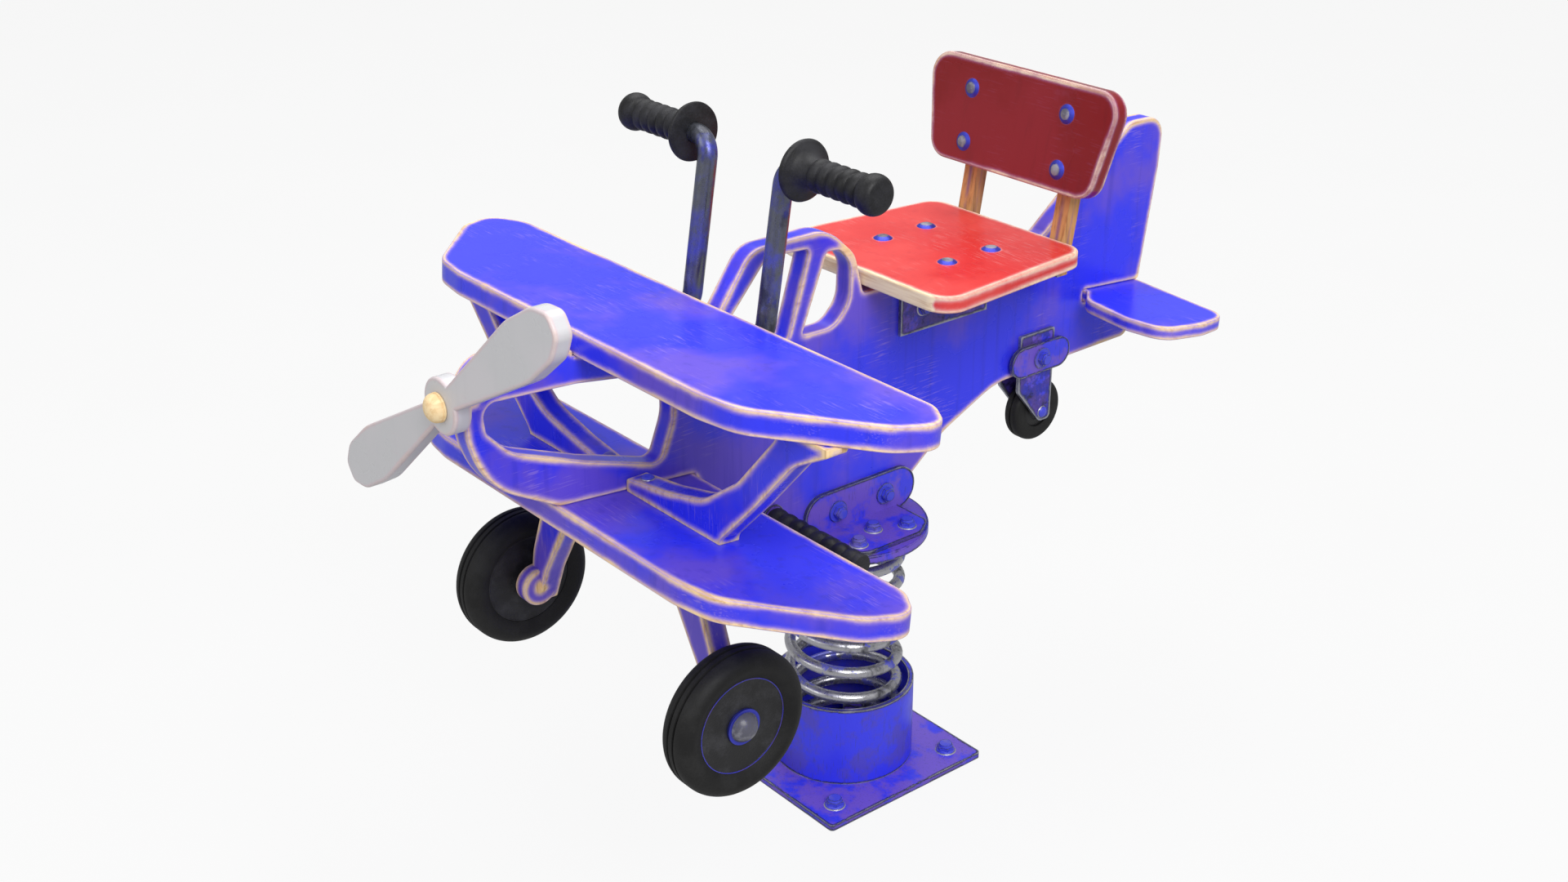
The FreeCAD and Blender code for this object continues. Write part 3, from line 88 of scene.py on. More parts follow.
# ---------------------------------------------------------------- finishes
class Recipe:
    """The nodes of one finish, written from the pattern to the shader."""

    def __init__(self, name: str) -> None:
        """Starts an empty material with a shader.

        Args:
            name: the material's name.
        """
        self.material = bpy.data.materials.new(name)
        self.material.use_nodes = True
        self.tree = self.material.node_tree
        self.tree.nodes.clear()
        output = self.tree.nodes.new("ShaderNodeOutputMaterial")
        self.shader = self.tree.nodes.new("ShaderNodeBsdfPrincipled")
        self.link(self.shader.outputs["BSDF"], output.inputs["Surface"])
        self.place = self.tree.nodes.new("ShaderNodeTexCoord").outputs["Object"]

    def link(self, source, target) -> None:
        """Joins two sockets.

        Args:
            source: the output socket.
            target: the input socket.
        """
        self.tree.links.new(source, target)

    def put(self, socket, value) -> None:
        """Gives a socket a value or another socket's result.

        Args:
            socket: the input to fill.
            value: a number, a colour or an output socket.
        """
        if isinstance(value, bpy.types.NodeSocket):
            self.link(value, socket)
        elif isinstance(value, tuple) and len(value) == 3 and socket.type == "RGBA":
            socket.default_value = (*value, 1.0)
        else:
            socket.default_value = value

    def noise(self, scale: float, detail: float, stretch: Point = (1.0, 1.0, 1.0), rough: float = 0.55):
        """A cloudy pattern.

        Args:
            scale: patches to each metre, about.
            detail: octaves.
            stretch: factor for each axis, small where the pattern is drawn out.
            rough: how strong the fine octaves are.

        Returns:
            The pattern's value socket.
        """
        mapping = self.tree.nodes.new("ShaderNodeMapping")
        self.link(self.place, mapping.inputs["Vector"])
        mapping.inputs["Scale"].default_value = stretch
        noise = self.tree.nodes.new("ShaderNodeTexNoise")
        self.link(mapping.outputs["Vector"], noise.inputs["Vector"])
        noise.inputs["Scale"].default_value = scale
        noise.inputs["Detail"].default_value = detail
        noise.inputs["Roughness"].default_value = rough
        return noise.outputs["Fac"]

    def ramp(self, value, low: float, high: float, to_low: float = 0.0, to_high: float = 1.0):
        """A smooth step of a value from one range to another.

        Args:
            value: the socket to map.
            low: where the step starts.
            high: where it ends.
            to_low: the result below the step.
            to_high: the result above it.

        Returns:
            The result's socket.
        """
        node = self.tree.nodes.new("ShaderNodeMapRange")
        node.interpolation_type = "SMOOTHSTEP"
        self.link(value, node.inputs["Value"])
        node.inputs["From Min"].default_value = low
        node.inputs["From Max"].default_value = high
        node.inputs["To Min"].default_value = to_low
        node.inputs["To Max"].default_value = to_high
        return node.outputs["Result"]

    def maths(self, operation: str, first, second):
        """One step of arithmetic on two values.

        Args:
            operation: the math node's operation.
            first: a number or a socket.
            second: a number or a socket.

        Returns:
            The result's socket.
        """
        node = self.tree.nodes.new("ShaderNodeMath")
        node.operation = operation
        self.put(node.inputs[0], first)
        self.put(node.inputs[1], second)
        return node.outputs["Value"]

    def times(self, first, second):
        """The product of two values.

        Args:
            first: a number or a socket.
            second: a number or a socket.

        Returns:
            The result's socket.
        """
        return self.maths("MULTIPLY", first, second)

    def plus(self, first, second):
        """The sum of two values.

        Args:
            first: a number or a socket.
            second: a number or a socket.

        Returns:
            The result's socket.
        """
        return self.maths("ADD", first, second)

    def minus(self, first, second):
        """The first value less the second.

        Args:
            first: a number or a socket.
            second: a number or a socket.

        Returns:
            The result's socket.
        """
        return self.maths("SUBTRACT", first, second)

    def sway(self, swing: float, scale: float, detail: float, rough: float = 0.55):
        """A cloudy pattern about zero.

        Args:
            swing: the whole of its range.
            scale: patches to each metre, about.
            detail: octaves.
            rough: how strong the fine octaves are.

        Returns:
            The pattern's socket.
        """
        return self.times(self.minus(self.noise(scale, detail, rough=rough), 0.5), swing)

    def mix(self, share, first, second):
        """A colour between two.

        Args:
            share: how much of the second, as a number or a socket.
            first: a colour or a socket.
            second: a colour or a socket.

        Returns:
            The colour's socket.
        """
        node = self.tree.nodes.new("ShaderNodeMix")
        node.data_type = "RGBA"
        self.put(node.inputs[0], share)
        self.put(node.inputs[MIX_FIRST], first)
        self.put(node.inputs[MIX_SECOND], second)
        return node.outputs[MIX_RESULT]

    def arris(self, reach: float):
        """How near a sharp edge of the piece is.

        Args:
            reach: how far from the edge it is felt, in metres.

        Returns:
            A socket that is 0 on open faces and 0.5 or more on an edge.
        """
        node = self.tree.nodes.new("ShaderNodeAmbientOcclusion")
        node.samples = 8
        node.inside = True
        node.only_local = True
        node.inputs["Distance"].default_value = reach
        return self.minus(1.0, node.outputs["AO"])

    def bump(self, height, depth: float) -> None:
        """Raises the surface by a pattern.

        Args:
            height: the pattern, from 0 to 1.
            depth: its height in metres.
        """
        node = self.tree.nodes.new("ShaderNodeBump")
        node.inputs["Strength"].default_value = 1.0
        node.inputs["Distance"].default_value = depth
        self.link(height, node.inputs["Height"])
        self.link(node.outputs["Normal"], self.shader.inputs["Normal"])


@dataclass(frozen=True)
class WornBoardPaint:
    """Paint over wood: faded in patches, scratched, and rubbed through at the arrises.

    The scales are patches to each metre, and bare_front_x is where the wood starts to show in front.
    """

    paint: Colour
    faded: Colour
    streak: Colour
    fringe: Colour = (0.52, 0.34, 0.64)
    wood_light: Colour = (0.95, 0.70, 0.38)
    wood_dark: Colour = (0.64, 0.38, 0.15)
    wear_reach: float = 0.0105
    wear: float = 0.0
    fading: float = 0.8
    scratches: float = 0.26
    running: float = 0.3
    bare_front_x: float = 9.0
    bare_front_soft: float = 4.0 * MM
    cloud_scale: float = 5.0
    run_scale: float = 70.0
    run_stretch: Point = (1.0, 1.0, 0.05)
    scratch_scale: float = 520.0
    blot_scale: float = 9.0
    chip_scale: float = 45.0
    grain_scale: float = 150.0
    pit_scale: float = 260.0
    shine: float = 0.38
    relief: float = 0.1 * MM

    def material(self, name: str, grain: Grain) -> bpy.types.Material:
        """The finish's material.

        Args:
            name: the material's name.
            grain: the way the wood runs.

        Returns:
            The new material.
        """
        r = Recipe(name)
        cloud = r.noise(self.cloud_scale, 5.0)
        patches = r.ramp(cloud, 0.44, 0.62)
        colour = r.mix(r.times(patches, self.fading), self.paint, self.faded)
        runs = r.ramp(r.noise(self.run_scale, 3.0, self.run_stretch), 0.5, 0.75)
        colour = r.mix(r.times(runs, self.running), colour, self.streak)
        fine = r.ramp(r.noise(self.scratch_scale, 2.0, grain.value), 0.57, 0.66)
        where = r.ramp(r.noise(self.blot_scale, 4.0), 0.45, 0.65)
        scratch = r.times(r.times(fine, where), self.scratches)
        colour = r.mix(scratch, colour, self.fringe)
        near = r.arris(self.wear_reach)
        rub = r.sway(0.16, self.chip_scale, 5.0, 0.6)
        broad = r.sway(0.32, self.blot_scale, 3.0)
        worn = r.plus(r.plus(near, rub), r.plus(broad, self.wear))
        axes = r.tree.nodes.new("ShaderNodeSeparateXYZ")
        r.link(r.place, axes.inputs["Vector"])
        bare_to_x = self.bare_front_x + self.bare_front_soft
        front = r.ramp(axes.outputs["X"], self.bare_front_x, bare_to_x, 0.0, 0.5)
        worn = r.plus(worn, front)
        fringe = r.ramp(worn, 0.05, 0.24)
        bare = r.ramp(worn, 0.22, 0.33)
        lines = r.noise(self.grain_scale, 5.0, grain.value, 0.65)
        wood = r.mix(r.ramp(lines, 0.44, 0.72), self.wood_light, self.wood_dark)
        colour = r.mix(r.times(fringe, 0.75), colour, self.fringe)
        colour = r.mix(bare, colour, wood)
        r.put(r.shader.inputs["Base Color"], colour)
        gloss = r.ramp(cloud, 0.3, 0.7, 0.22, 0.40)
        r.put(r.shader.inputs["Roughness"], r.plus(gloss, r.times(bare, 0.3)))
        r.shader.inputs["Specular IOR Level"].default_value = self.shine
        height = r.plus(r.times(lines, 0.5), r.minus(0.6, r.times(bare, 0.6)))
        pits = r.times(r.noise(self.pit_scale, 3.0), 0.4)
        r.bump(r.plus(height, pits), self.relief)
        return r.material


@dataclass(frozen=True)
class WornSteelPaint:
    """Paint over steel, rubbed to dark and bright metal at the edges.

    The scales are patches to each metre.
    """

    paint: Colour
    faded: Colour
    dark: Colour = (0.05, 0.05, 0.075)
    bright: Colour = (0.46, 0.46, 0.50)
    wear_reach: float = 0.0055
    wear: float = 0.0
    scratches: float = 0.35
    fading: float = 0.53
    fading_soft: float = 0.07
    polish: float = 0.33
    polish_soft: float = 0.14
    cloud_scale: float = 19.0
    scratch_scale: float = 420.0
    scratch_stretch: Point = (1.0, 1.0, 0.1)
    chip_scale: float = 110.0
    blot_scale: float = 16.0
    pit_scale: float = 240.0
    relief: float = 0.3 * MM

    def material(self, name: str) -> bpy.types.Material:
        """The finish's material.

        Args:
            name: the material's name.

        Returns:
            The new material.
        """
        r = Recipe(name)
        cloud = r.noise(self.cloud_scale, 6.0, rough=0.65)
        patches = r.ramp(cloud, self.fading - self.fading_soft, self.fading + self.fading_soft, 0.0, 0.85)
        colour = r.mix(patches, self.paint, self.faded)
        fine = r.ramp(r.noise(self.scratch_scale, 3.0, self.scratch_stretch), 0.58, 0.68)
        colour = r.mix(r.times(fine, self.scratches), colour, self.dark)
        near = r.arris(self.wear_reach)
        rub = r.sway(0.45, self.chip_scale, 6.0, 0.7)
        broad = r.sway(0.5, self.blot_scale, 3.0)
        worn = r.plus(r.plus(near, rub), r.plus(broad, self.wear))
        bare = r.ramp(worn, 0.17, 0.24)
        polished = r.ramp(worn, self.polish, self.polish + self.polish_soft)
        metal = r.mix(polished, self.dark, self.bright)
        r.put(r.shader.inputs["Base Color"], r.mix(bare, colour, metal))
        r.put(r.shader.inputs["Metallic"], r.times(bare, 0.75))
        r.put(r.shader.inputs["Roughness"], r.ramp(cloud, 0.3, 0.7, 0.30, 0.50))
        height = r.minus(r.times(r.noise(self.pit_scale, 4.0), 0.6), r.times(bare, 0.6))
        r.bump(height, self.relief)
        return r.material


@dataclass(frozen=True)
class SpringSteel:
    """Scratched bare steel with grime and remains of paint."""

    steel: Colour = (0.50, 0.50, 0.53)
    grime: Colour = (0.03, 0.03, 0.04)
    paint: Colour = (0.05, 0.06, 0.55)
    paint_from: float = 0.69
    paint_soft: float = 0.04
    relief: float = 0.2 * MM

    def material(self, name: str) -> bpy.types.Material:
        """The finish's material.

        Args:
            name: the material's name.

        Returns:
            The new material.
        """
        r = Recipe(name)
        broad = r.noise(20.0, 5.0, rough=0.6)
        fine = r.noise(120.0, 5.0, (1.0, 1.0, 0.5), 0.6)
        dirt = r.ramp(r.plus(broad, r.times(fine, 0.35)), 0.66, 0.84)
        colour = r.mix(dirt, self.steel, self.grime)
        remains = r.plus(r.noise(17.0, 5.0, rough=0.6), r.times(fine, 0.25))
        paint = r.ramp(remains, self.paint_from, self.paint_from + self.paint_soft)
        colour = r.mix(r.times(paint, 0.8), colour, self.paint)
        r.put(r.shader.inputs["Base Color"], colour)
        covered = r.times(r.maths("MAXIMUM", dirt, paint), 0.6)
        r.put(r.shader.inputs["Metallic"], r.minus(0.9, covered))
        r.put(r.shader.inputs["Roughness"], r.ramp(fine, 0.3, 0.7, 0.20, 0.42))
        r.bump(fine, self.relief)
        return r.material


@dataclass(frozen=True)
class MattRubber:
    """Charcoal rubber with a dusty bloom and a slight grain."""

    colour: Colour = (0.007, 0.007, 0.007)
    bloom: Colour = (0.019, 0.019, 0.019)
    roughness: float = 0.62
    relief: float = 0.25 * MM

    def material(self, name: str) -> bpy.types.Material:
        """The finish's material.

        Args:
            name: the material's name.

        Returns:
            The new material.
        """
        r = Recipe(name)
        dust = r.noise(22.0, 6.0, rough=0.65)
        specks = r.noise(600.0, 3.0)
        share = r.ramp(r.plus(dust, r.times(specks, 0.25)), 0.52, 0.82)
        r.put(r.shader.inputs["Base Color"], r.mix(share, self.colour, self.bloom))
        r.put(r.shader.inputs["Roughness"], r.ramp(dust, 0.3, 0.7, self.roughness - 0.1, self.roughness + 0.12))
        r.shader.inputs["Specular IOR Level"].default_value = 0.3
        r.bump(specks, self.relief)
        return r.material


@dataclass(frozen=True)
class TurnedPine:
    """Bare varnished pine, with its grain drawn out along the shaft's line."""

    light: Colour = (0.93, 0.72, 0.42)
    dark: Colour = (0.82, 0.58, 0.30)
    relief: float = 0.2 * MM

    def material(self, name: str) -> bpy.types.Material:
        """The finish's material.

        Args:
            name: the material's name.

        Returns:
            The new material.
        """
        r = Recipe(name)
        rings = r.noise(210.0, 4.0, (0.12, 1.0, 1.0), 0.6)
        pores = r.noise(900.0, 2.0, (0.1, 1.0, 1.0))
        share = r.plus(r.ramp(rings, 0.38, 0.64), r.ramp(pores, 0.6, 0.8, 0.0, 0.3))
        r.put(r.shader.inputs["Base Color"], r.mix(share, self.light, self.dark))
        r.put(r.shader.inputs["Roughness"], r.ramp(rings, 0.3, 0.7, 0.42, 0.6))
        r.bump(rings, self.relief)
        return r.material


@dataclass(frozen=True)
class StudioFloor:
    """An even pale floor with a barely seen mottle, which gives the object a little light."""

    colour: Colour = (0.05, 0.05, 0.05)
    shade: Colour = (0.04, 0.04, 0.04)
    seen: float = 0.90
    given: float = 0.50

    def material(self, name: str) -> bpy.types.Material:
        """The finish's material.

        Args:
            name: the material's name.

        Returns:
            The new material.
        """
        r = Recipe(name)
        r.put(r.shader.inputs["Base Color"], r.mix(r.noise(2.0, 2.0), self.colour, self.shade))
        r.shader.inputs["Roughness"].default_value = 0.9
        r.shader.inputs["Specular IOR Level"].default_value = 0.0
        r.shader.inputs["Emission Color"].default_value = (1.0, 1.0, 1.0, 1.0)
        path = r.tree.nodes.new("ShaderNodeLightPath")
        glow = r.plus(r.times(path.outputs["Is Camera Ray"], self.seen - self.given), self.given)
        r.put(r.shader.inputs["Emission Strength"], glow)
        return r.material


# ---------------------------------------------------------------- bench work
def clear_selection() -> None:
    """Leaves edit mode and deselects everything."""
    if bpy.context.object is not None and bpy.context.object.mode != "OBJECT":
        bpy.ops.object.mode_set(mode="OBJECT")
    bpy.ops.object.select_all(action="DESELECT")


def pick(piece: bpy.types.Object) -> None:
    """Selects one piece alone and makes it the active one.

    Args:
        piece: the mesh to select.
    """
    clear_selection()
    piece.select_set(True)
    bpy.context.view_layer.objects.active = piece


def dress(piece: bpy.types.Object, material: bpy.types.Material) -> None:
    """Gives a piece one material.

    Args:
        piece: the mesh to dress.
        material: its finish.
    """
    piece.data.materials.clear()
    piece.data.materials.append(material)


def smooth(piece: bpy.types.Object, degrees: float = 35.0) -> None:
    """Shades a piece smooth except across its sharp edges.

    Args:
        piece: the mesh to shade.
        degrees: the least angle of a sharp edge.
    """
    pick(piece)
    bpy.ops.object.shade_smooth_by_angle(angle=math.radians(degrees))


def soften(piece: bpy.types.Object, width: float, segments: int = 3, degrees: float = 32.0) -> None:
    """Rounds a piece's sharp edges with a bevel that is applied.

    Args:
        piece: the mesh to change.
        width: the bevel's width in metres.
        segments: how many steps round it.
        degrees: the least angle of an edge that is rounded.
    """
    pick(piece)
    modifier = piece.modifiers.new("soften", "BEVEL")
    modifier.width = width
    modifier.segments = segments
    modifier.limit_method = "ANGLE"
    modifier.angle_limit = math.radians(degrees)
    modifier.use_clamp_overlap = True
    bpy.ops.object.modifier_apply(modifier=modifier.name)


def turned(name: str, profile: Profile, centre: Point, axis: Point, steps: int = 96) -> bpy.types.Object:
    """Spins a profile into a round piece.

    Args:
        name: the piece's name.
        profile: (distance along the axis, radius) of each corner in metres, with the first corner again
            at the end when it has a bore.
        centre: a point on the axis, where the distance is 0.
        axis: the axis's unit direction.
        steps: how many flats go round.

    Returns:
        The new piece.
    """
    along = Vector(axis)
    outward = Vector((0.0, 0.0, 1.0))
    places = [Vector(centre) + along * distance + outward * radius for distance, radius in profile]
    clear_selection()
    bpy.ops.mesh.primitive_plane_add(size=0.001, location=(0.0, 0.0, 0.0))
    piece = bpy.context.object
    piece.name = name
    piece.data.name = name
    bpy.ops.object.mode_set(mode="EDIT")
    bpy.ops.mesh.select_all(action="SELECT")
    bpy.ops.mesh.merge(type="CENTER")
    bpy.ops.transform.translate(value=places[0])
    for before, after in zip(places, places[1:]):
        bpy.ops.mesh.extrude_region_move(TRANSFORM_OT_translate={"value": after - before})
    bpy.ops.mesh.select_all(action="SELECT")
    bpy.ops.mesh.spin(steps=steps, angle=math.tau, center=centre, axis=axis)
    bpy.ops.mesh.select_all(action="SELECT")
    bpy.ops.mesh.remove_doubles(threshold=1e-5)
    bpy.ops.mesh.normals_make_consistent(inside=False)
    bpy.ops.object.mode_set(mode="OBJECT")
    return piece


def twin(piece: bpy.types.Object, name: str) -> bpy.types.Object:
    """The other side's copy of a piece, mirrored in y, with its own mesh.

    Args:
        piece: the left piece.
        name: the copy's name.

    Returns:
        The new piece.
    """
    pick(piece)
    bpy.ops.object.duplicate(linked=False)
    other = bpy.context.object
    other.name = name
    other.data.name = name
    bpy.ops.object.mode_set(mode="EDIT")
    bpy.ops.mesh.select_all(action="SELECT")
    bpy.ops.transform.resize(value=(1.0, -1.0, 1.0), center_override=(0.0, 0.0, 0.0))
    bpy.ops.mesh.normals_make_consistent(inside=False)
    bpy.ops.object.mode_set(mode="OBJECT")
    return other


def rim(angle_from: float, angle_to: float, centre: Tuple[float, float], radius: float, count: int) -> Corners:
    """Corners along a round shoulder of a profile.

    Args:
        angle_from: degrees at its start, where 0 is along the axis and 90 is outwards.
        angle_to: degrees at its end.
        centre: (distance along the axis, radius) of its centre.
        radius: its own radius.
        count: how many steps it takes.

    Returns:
        The corners.
    """
    corners = []
    for step in range(count + 1):
        turn = math.radians(angle_from + (angle_to - angle_from) * step / count)
        corners.append((centre[0] + radius * math.cos(turn), centre[1] + radius * math.sin(turn)))
    return corners


def mirrored(corners: Profile) -> Corners:
    """The same corners on the other side of the middle, in the opposite order.

    Args:
        corners: (distance along the axis, radius) of each.

    Returns:
        The corners' mirror images.
    """
    return [(-distance, radius) for distance, radius in reversed(corners)]


def tread_groove(place: float, radius: float, deep: float, mouth: float, bottom: float) -> Corners:
    """Corners of one groove round a tyre's tread.

    Args:
        place: the groove's middle along the axis.
        radius: the tread's radius.
        deep: the groove's depth.
        mouth: half its width at the tread.
        bottom: half its width at the bottom.

    Returns:
        The corners.
    """
    foot = radius - deep
    return [(place + mouth, radius), (place + bottom, foot), (place - bottom, foot), (place - mouth, radius)]


def swell(step: int, steps: int, power: float) -> float:
    """How high a round rib stands at one step across it.

    Args:
        step: the step, from 0 at one foot to steps at the other.
        steps: how many steps go across.
        power: under 1 for a fuller rib.

    Returns:
        A share of the rib's height, from 0 to 1.
    """
    if step in (0, steps):
        return 0.0
    return math.sin(math.pi * step / steps) ** power


# ---------------------------------------------------------------- sub-assemblies
@dataclass
class CoilSpring:
    """The round wire under the rider, made as a lower and an upper half."""

    wire: float = 8.0 * MM
    middle: float = 74.9 * MM
    low: float = 24.0 * MM
    high: float = 337.5 * MM
    pitch: float = 40.4 * MM
    end_pitch: float = 20.0 * MM
    start: float = math.radians(133.0)
    flats: int = 20
    steps: int = 56
    above_middle: float = 1.4

    def stretch(self, name: str, turn: float, height: float, turns: float, pitch: float) -> bpy.types.Object:
        """One stretch of wire with an even pitch, wound to the left going up.

        Args:
            name: the piece's name.
            turn: turns of wire below it.
            height: height of its lower end.
            turns: how many turns it makes.
            pitch: its rise in each turn.

        Returns:
            The open-ended stretch.
        """
        angle = self.start - math.tau * turn
        clear_selection()
        bpy.ops.mesh.primitive_circle_add(
            vertices=self.flats,
            radius=self.wire,
            fill_type="NOTHING",
            location=(self.middle * math.cos(angle), self.middle * math.sin(angle), height),
            rotation=(math.pi / 2.0, 0.0, angle),
        )
        piece = bpy.context.object
        piece.name = name
        piece.data.name = name
        bpy.ops.object.transform_apply(location=True, rotation=True, scale=True)
        modifier = piece.modifiers.new("wind", "SCREW")
        modifier.axis = "Z"
        modifier.angle = -math.tau * turns
        modifier.screw_offset = pitch * turns
        modifier.steps = round(self.steps * turns)
        modifier.render_steps = modifier.steps
        modifier.use_merge_vertices = False
        bpy.ops.object.modifier_apply(modifier=modifier.name)
        return piece

    def half(self, name: str, parts: Sequence[bpy.types.Object]) -> bpy.types.Object:
        """Joins stretches end to end and closes the wire's two ends.

        Args:
            name: the piece's name.
            parts: the stretches.

        Returns:
            The closed wire.
        """
        clear_selection()
        for part in parts:
            part.select_set(True)
        bpy.context.view_layer.objects.active = parts[0]
        bpy.ops.object.join()
        piece = bpy.context.object
        piece.name = name
        piece.data.name = name
        bpy.ops.object.mode_set(mode="EDIT")
        bpy.ops.mesh.select_all(action="SELECT")
        bpy.ops.mesh.remove_doubles(threshold=2e-5)
        bpy.ops.mesh.select_all(action="SELECT")
        bpy.ops.mesh.fill_holes(sides=self.flats)
        bpy.ops.mesh.select_all(action="SELECT")
        bpy.ops.mesh.normals_make_consistent(inside=False)
        bpy.ops.object.mode_set(mode="OBJECT")
        smooth(piece, 50.0)
        return piece

    def build(self, finish: SpringSteel) -> None:
        """Makes both halves, gives them the wire's finish and hides the imported spring.

        Args:
            finish: the wire's finish.
        """
        open_turns = (self.high - self.low - 2.0 * self.end_pitch) / self.pitch
        split = open_turns / 2.0 + self.above_middle
        split_height = self.low + self.end_pitch + self.pitch * split
        lower = self.half("coil_lower_half", [
            self.stretch("lower_end", 0.0, self.low, 1.0, self.end_pitch),
            self.stretch("lower_open", 1.0, self.low + self.end_pitch, split, self.pitch),
        ])
        upper = self.half("coil_upper_half", [
            self.stretch("upper_open", 1.0 + split, split_height, open_turns - split, self.pitch),
            self.stretch("upper_end", 1.0 + open_turns, self.high - self.end_pitch, 1.0, self.end_pitch),
        ])
        material = finish.material("spring_wire_steel")
        for piece in (lower, upper):
            dress(piece, material)
            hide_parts("coil_spring")
        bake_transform(lower)
        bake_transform(upper)
        log.info("coil spring: two halves that meet at %.3f m", split_height)


@dataclass
class FrontWheels:
    """The two round-shouldered front tyres and their sunk hub discs."""

    radius: float = 93.3 * MM
    width: float = 49.9 * MM
    shoulder: float = 17.0 * MM
    side_ring: float = 61.5 * MM
    groove: float = 5.0 * MM
    groove_deep: float = 3.0 * MM
    groove_mouth: float = 1.9 * MM
    groove_bottom: float = 0.9 * MM
    disc_sink: float = 8.0 * MM
    disc_hollow: float = 42.0 * MM
    bore: float = 8.06 * MM
    ring: float = 23.5 * MM
    shoulder_steps: int = 10
    tyre_flats: int = 128
    disc_flats: int = 96

    def centre(self) -> Point:
        """The left wheel's middle."""
        low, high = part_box("front_tyre_left")
        return tuple((low + high) / 2.0)

    def tyre(self) -> bpy.types.Object:
        """The left tyre with its two grooves."""
        half = self.width / 2.0
        hub = self.side_ring
        sunk = half - self.disc_sink
        flank = self.radius - self.shoulder
        dish = [(sunk + 0.5 * MM, hub), (sunk + 1.2 * MM, hub + 1.0 * MM),
                (half - 3.4 * MM, hub + 6.0 * MM), (half - 1.0 * MM, hub + 11.0 * MM)]
        profile = mirrored(dish[:1]) + dish
        profile += rim(0.0, 90.0, (half - self.shoulder, flank), self.shoulder, self.shoulder_steps)
        for place in (self.groove, -self.groove):
            profile += tread_groove(place, self.radius, self.groove_deep, self.groove_mouth, self.groove_bottom)
        profile += rim(90.0, 180.0, (self.shoulder - half, flank), self.shoulder, self.shoulder_steps)
        profile += mirrored(dish)
        piece = turned("front_tyre_rubber_left", profile, self.centre(), ALONG_Y, self.tyre_flats)
        smooth(piece, 38.0)
        return piece

    def disc(self) -> bpy.types.Object:
        """The left hub disc, dished, with a raised rim and a middle pad."""
        half = self.width / 2.0 - self.disc_sink
        edge = self.side_ring - 0.2 * MM
        outside = [(half, edge), (half, edge - 1.6 * MM), (half - 0.7 * MM, edge - 2.2 * MM),
                   (half - 0.7 * MM, self.disc_hollow), (half - 0.2 * MM, self.ring + 6.0 * MM),
                   (half, self.ring + 3.0 * MM), (half, self.bore)]
        profile = outside + mirrored(outside) + outside[:1]
        piece = turned("front_hub_disc_left", profile, self.centre(), ALONG_Y, self.disc_flats)
        soften(piece, 0.8 * MM, 2)
        smooth(piece, 30.0)
        return piece

    def paint_line(self) -> bpy.types.Object:
        """The thin painted ring round the left hub disc's edge."""
        low = self.width / 2.0 - self.disc_sink - 0.5 * MM
        high = low + 1.1 * MM
        outside, inside = self.side_ring - 0.3 * MM, self.side_ring - 1.5 * MM
        profile = [(low, inside), (low, outside), (high, outside), (high + 0.2 * MM, outside - 0.6 * MM),
                   (high, inside), (low, inside)]
        piece = turned("front_hub_ring_left", profile, self.centre(), ALONG_Y, self.disc_flats)
        smooth(piece, 30.0)
        return piece

    def build(self, rubber: bpy.types.Material, disc: bpy.types.Material, ring: bpy.types.Material) -> None:
        """Makes the left wheel's pieces and copies them to the right.

        Args:
            rubber: the tyres' finish.
            disc: the discs' finish.
            ring: the painted rings' finish.
        """
        rows = (
            (self.tyre(), rubber, "front_tyre", "tyre_rubber"),
            (self.disc(), disc, "front_hub", "black_rubber"),
            (self.paint_line(), ring, "front_hub", "black_rubber"),
        )
        for piece, material, node, slot in rows:
            other = twin(piece, piece.name.replace("left", "right"))
            for one, side in ((piece, Side.LEFT), (other, Side.RIGHT)):
                dress(one, material)
                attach(one, f"{side.value}_wheel")
                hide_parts(f"{node}_{side.value}")
        log.info("front wheels: two tyres, two discs and their painted rings")


@dataclass
class TailWheel:
    """The small wheel under the tail."""

    radius: float = 46.5 * MM
    width: float = 26.0 * MM
    shoulder: float = 8.0 * MM
    hub: float = 25.0 * MM
    bore: float = 6.1 * MM
    groove_deep: float = 2.5 * MM
    groove_mouth: float = 1.8 * MM
    groove_bottom: float = 0.8 * MM
    shoulder_steps: int = 7

    def build(self, rubber: bpy.types.Material, disc: bpy.types.Material) -> None:
        """Makes the tyre and its centre.

        Args:
            rubber: the tyre's finish.
            disc: the centre's finish.
        """
        low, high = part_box("tail_tyre")
        centre = tuple((low + high) / 2.0)
        half = self.width / 2.0
        flank = self.radius - self.shoulder
        profile = [(-half + 1.0 * MM, self.hub), (half - 1.0 * MM, self.hub), (half, self.hub + 1.5 * MM)]
        profile += rim(0.0, 90.0, (half - self.shoulder, flank), self.shoulder, self.shoulder_steps)
        profile += tread_groove(0.0, self.radius, self.groove_deep, self.groove_mouth, self.groove_bottom)
        profile += rim(90.0, 180.0, (self.shoulder - half, flank), self.shoulder, self.shoulder_steps)
        profile += [(-half, self.hub + 1.5 * MM), (-half + 1.0 * MM, self.hub)]
        tyre = turned("tail_tyre_rubber", profile, centre, ALONG_Y, 80)
        smooth(tyre, 38.0)
        edge = self.hub - 0.1 * MM
        outside = [(half - 3.0 * MM, edge), (half - 3.0 * MM, 15.0 * MM), (half + 0.8 * MM, 12.0 * MM),
                   (half + 0.8 * MM, self.bore)]
        section = outside + mirrored(outside) + outside[:1]
        middle = turned("tail_hub_centre", section, centre, ALONG_Y, 64)
        soften(middle, 0.7 * MM, 2)
        smooth(middle, 30.0)
        rows = (
            (tyre, rubber, "tail_tyre", "tyre_rubber"),
            (middle, disc, "tail_hub", "black_rubber"),
        )
        for piece, material, node, slot in rows:
            dress(piece, material)
            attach(piece, "tail_wheel")
            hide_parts(node)
        log.info("tail wheel: tyre and centre")


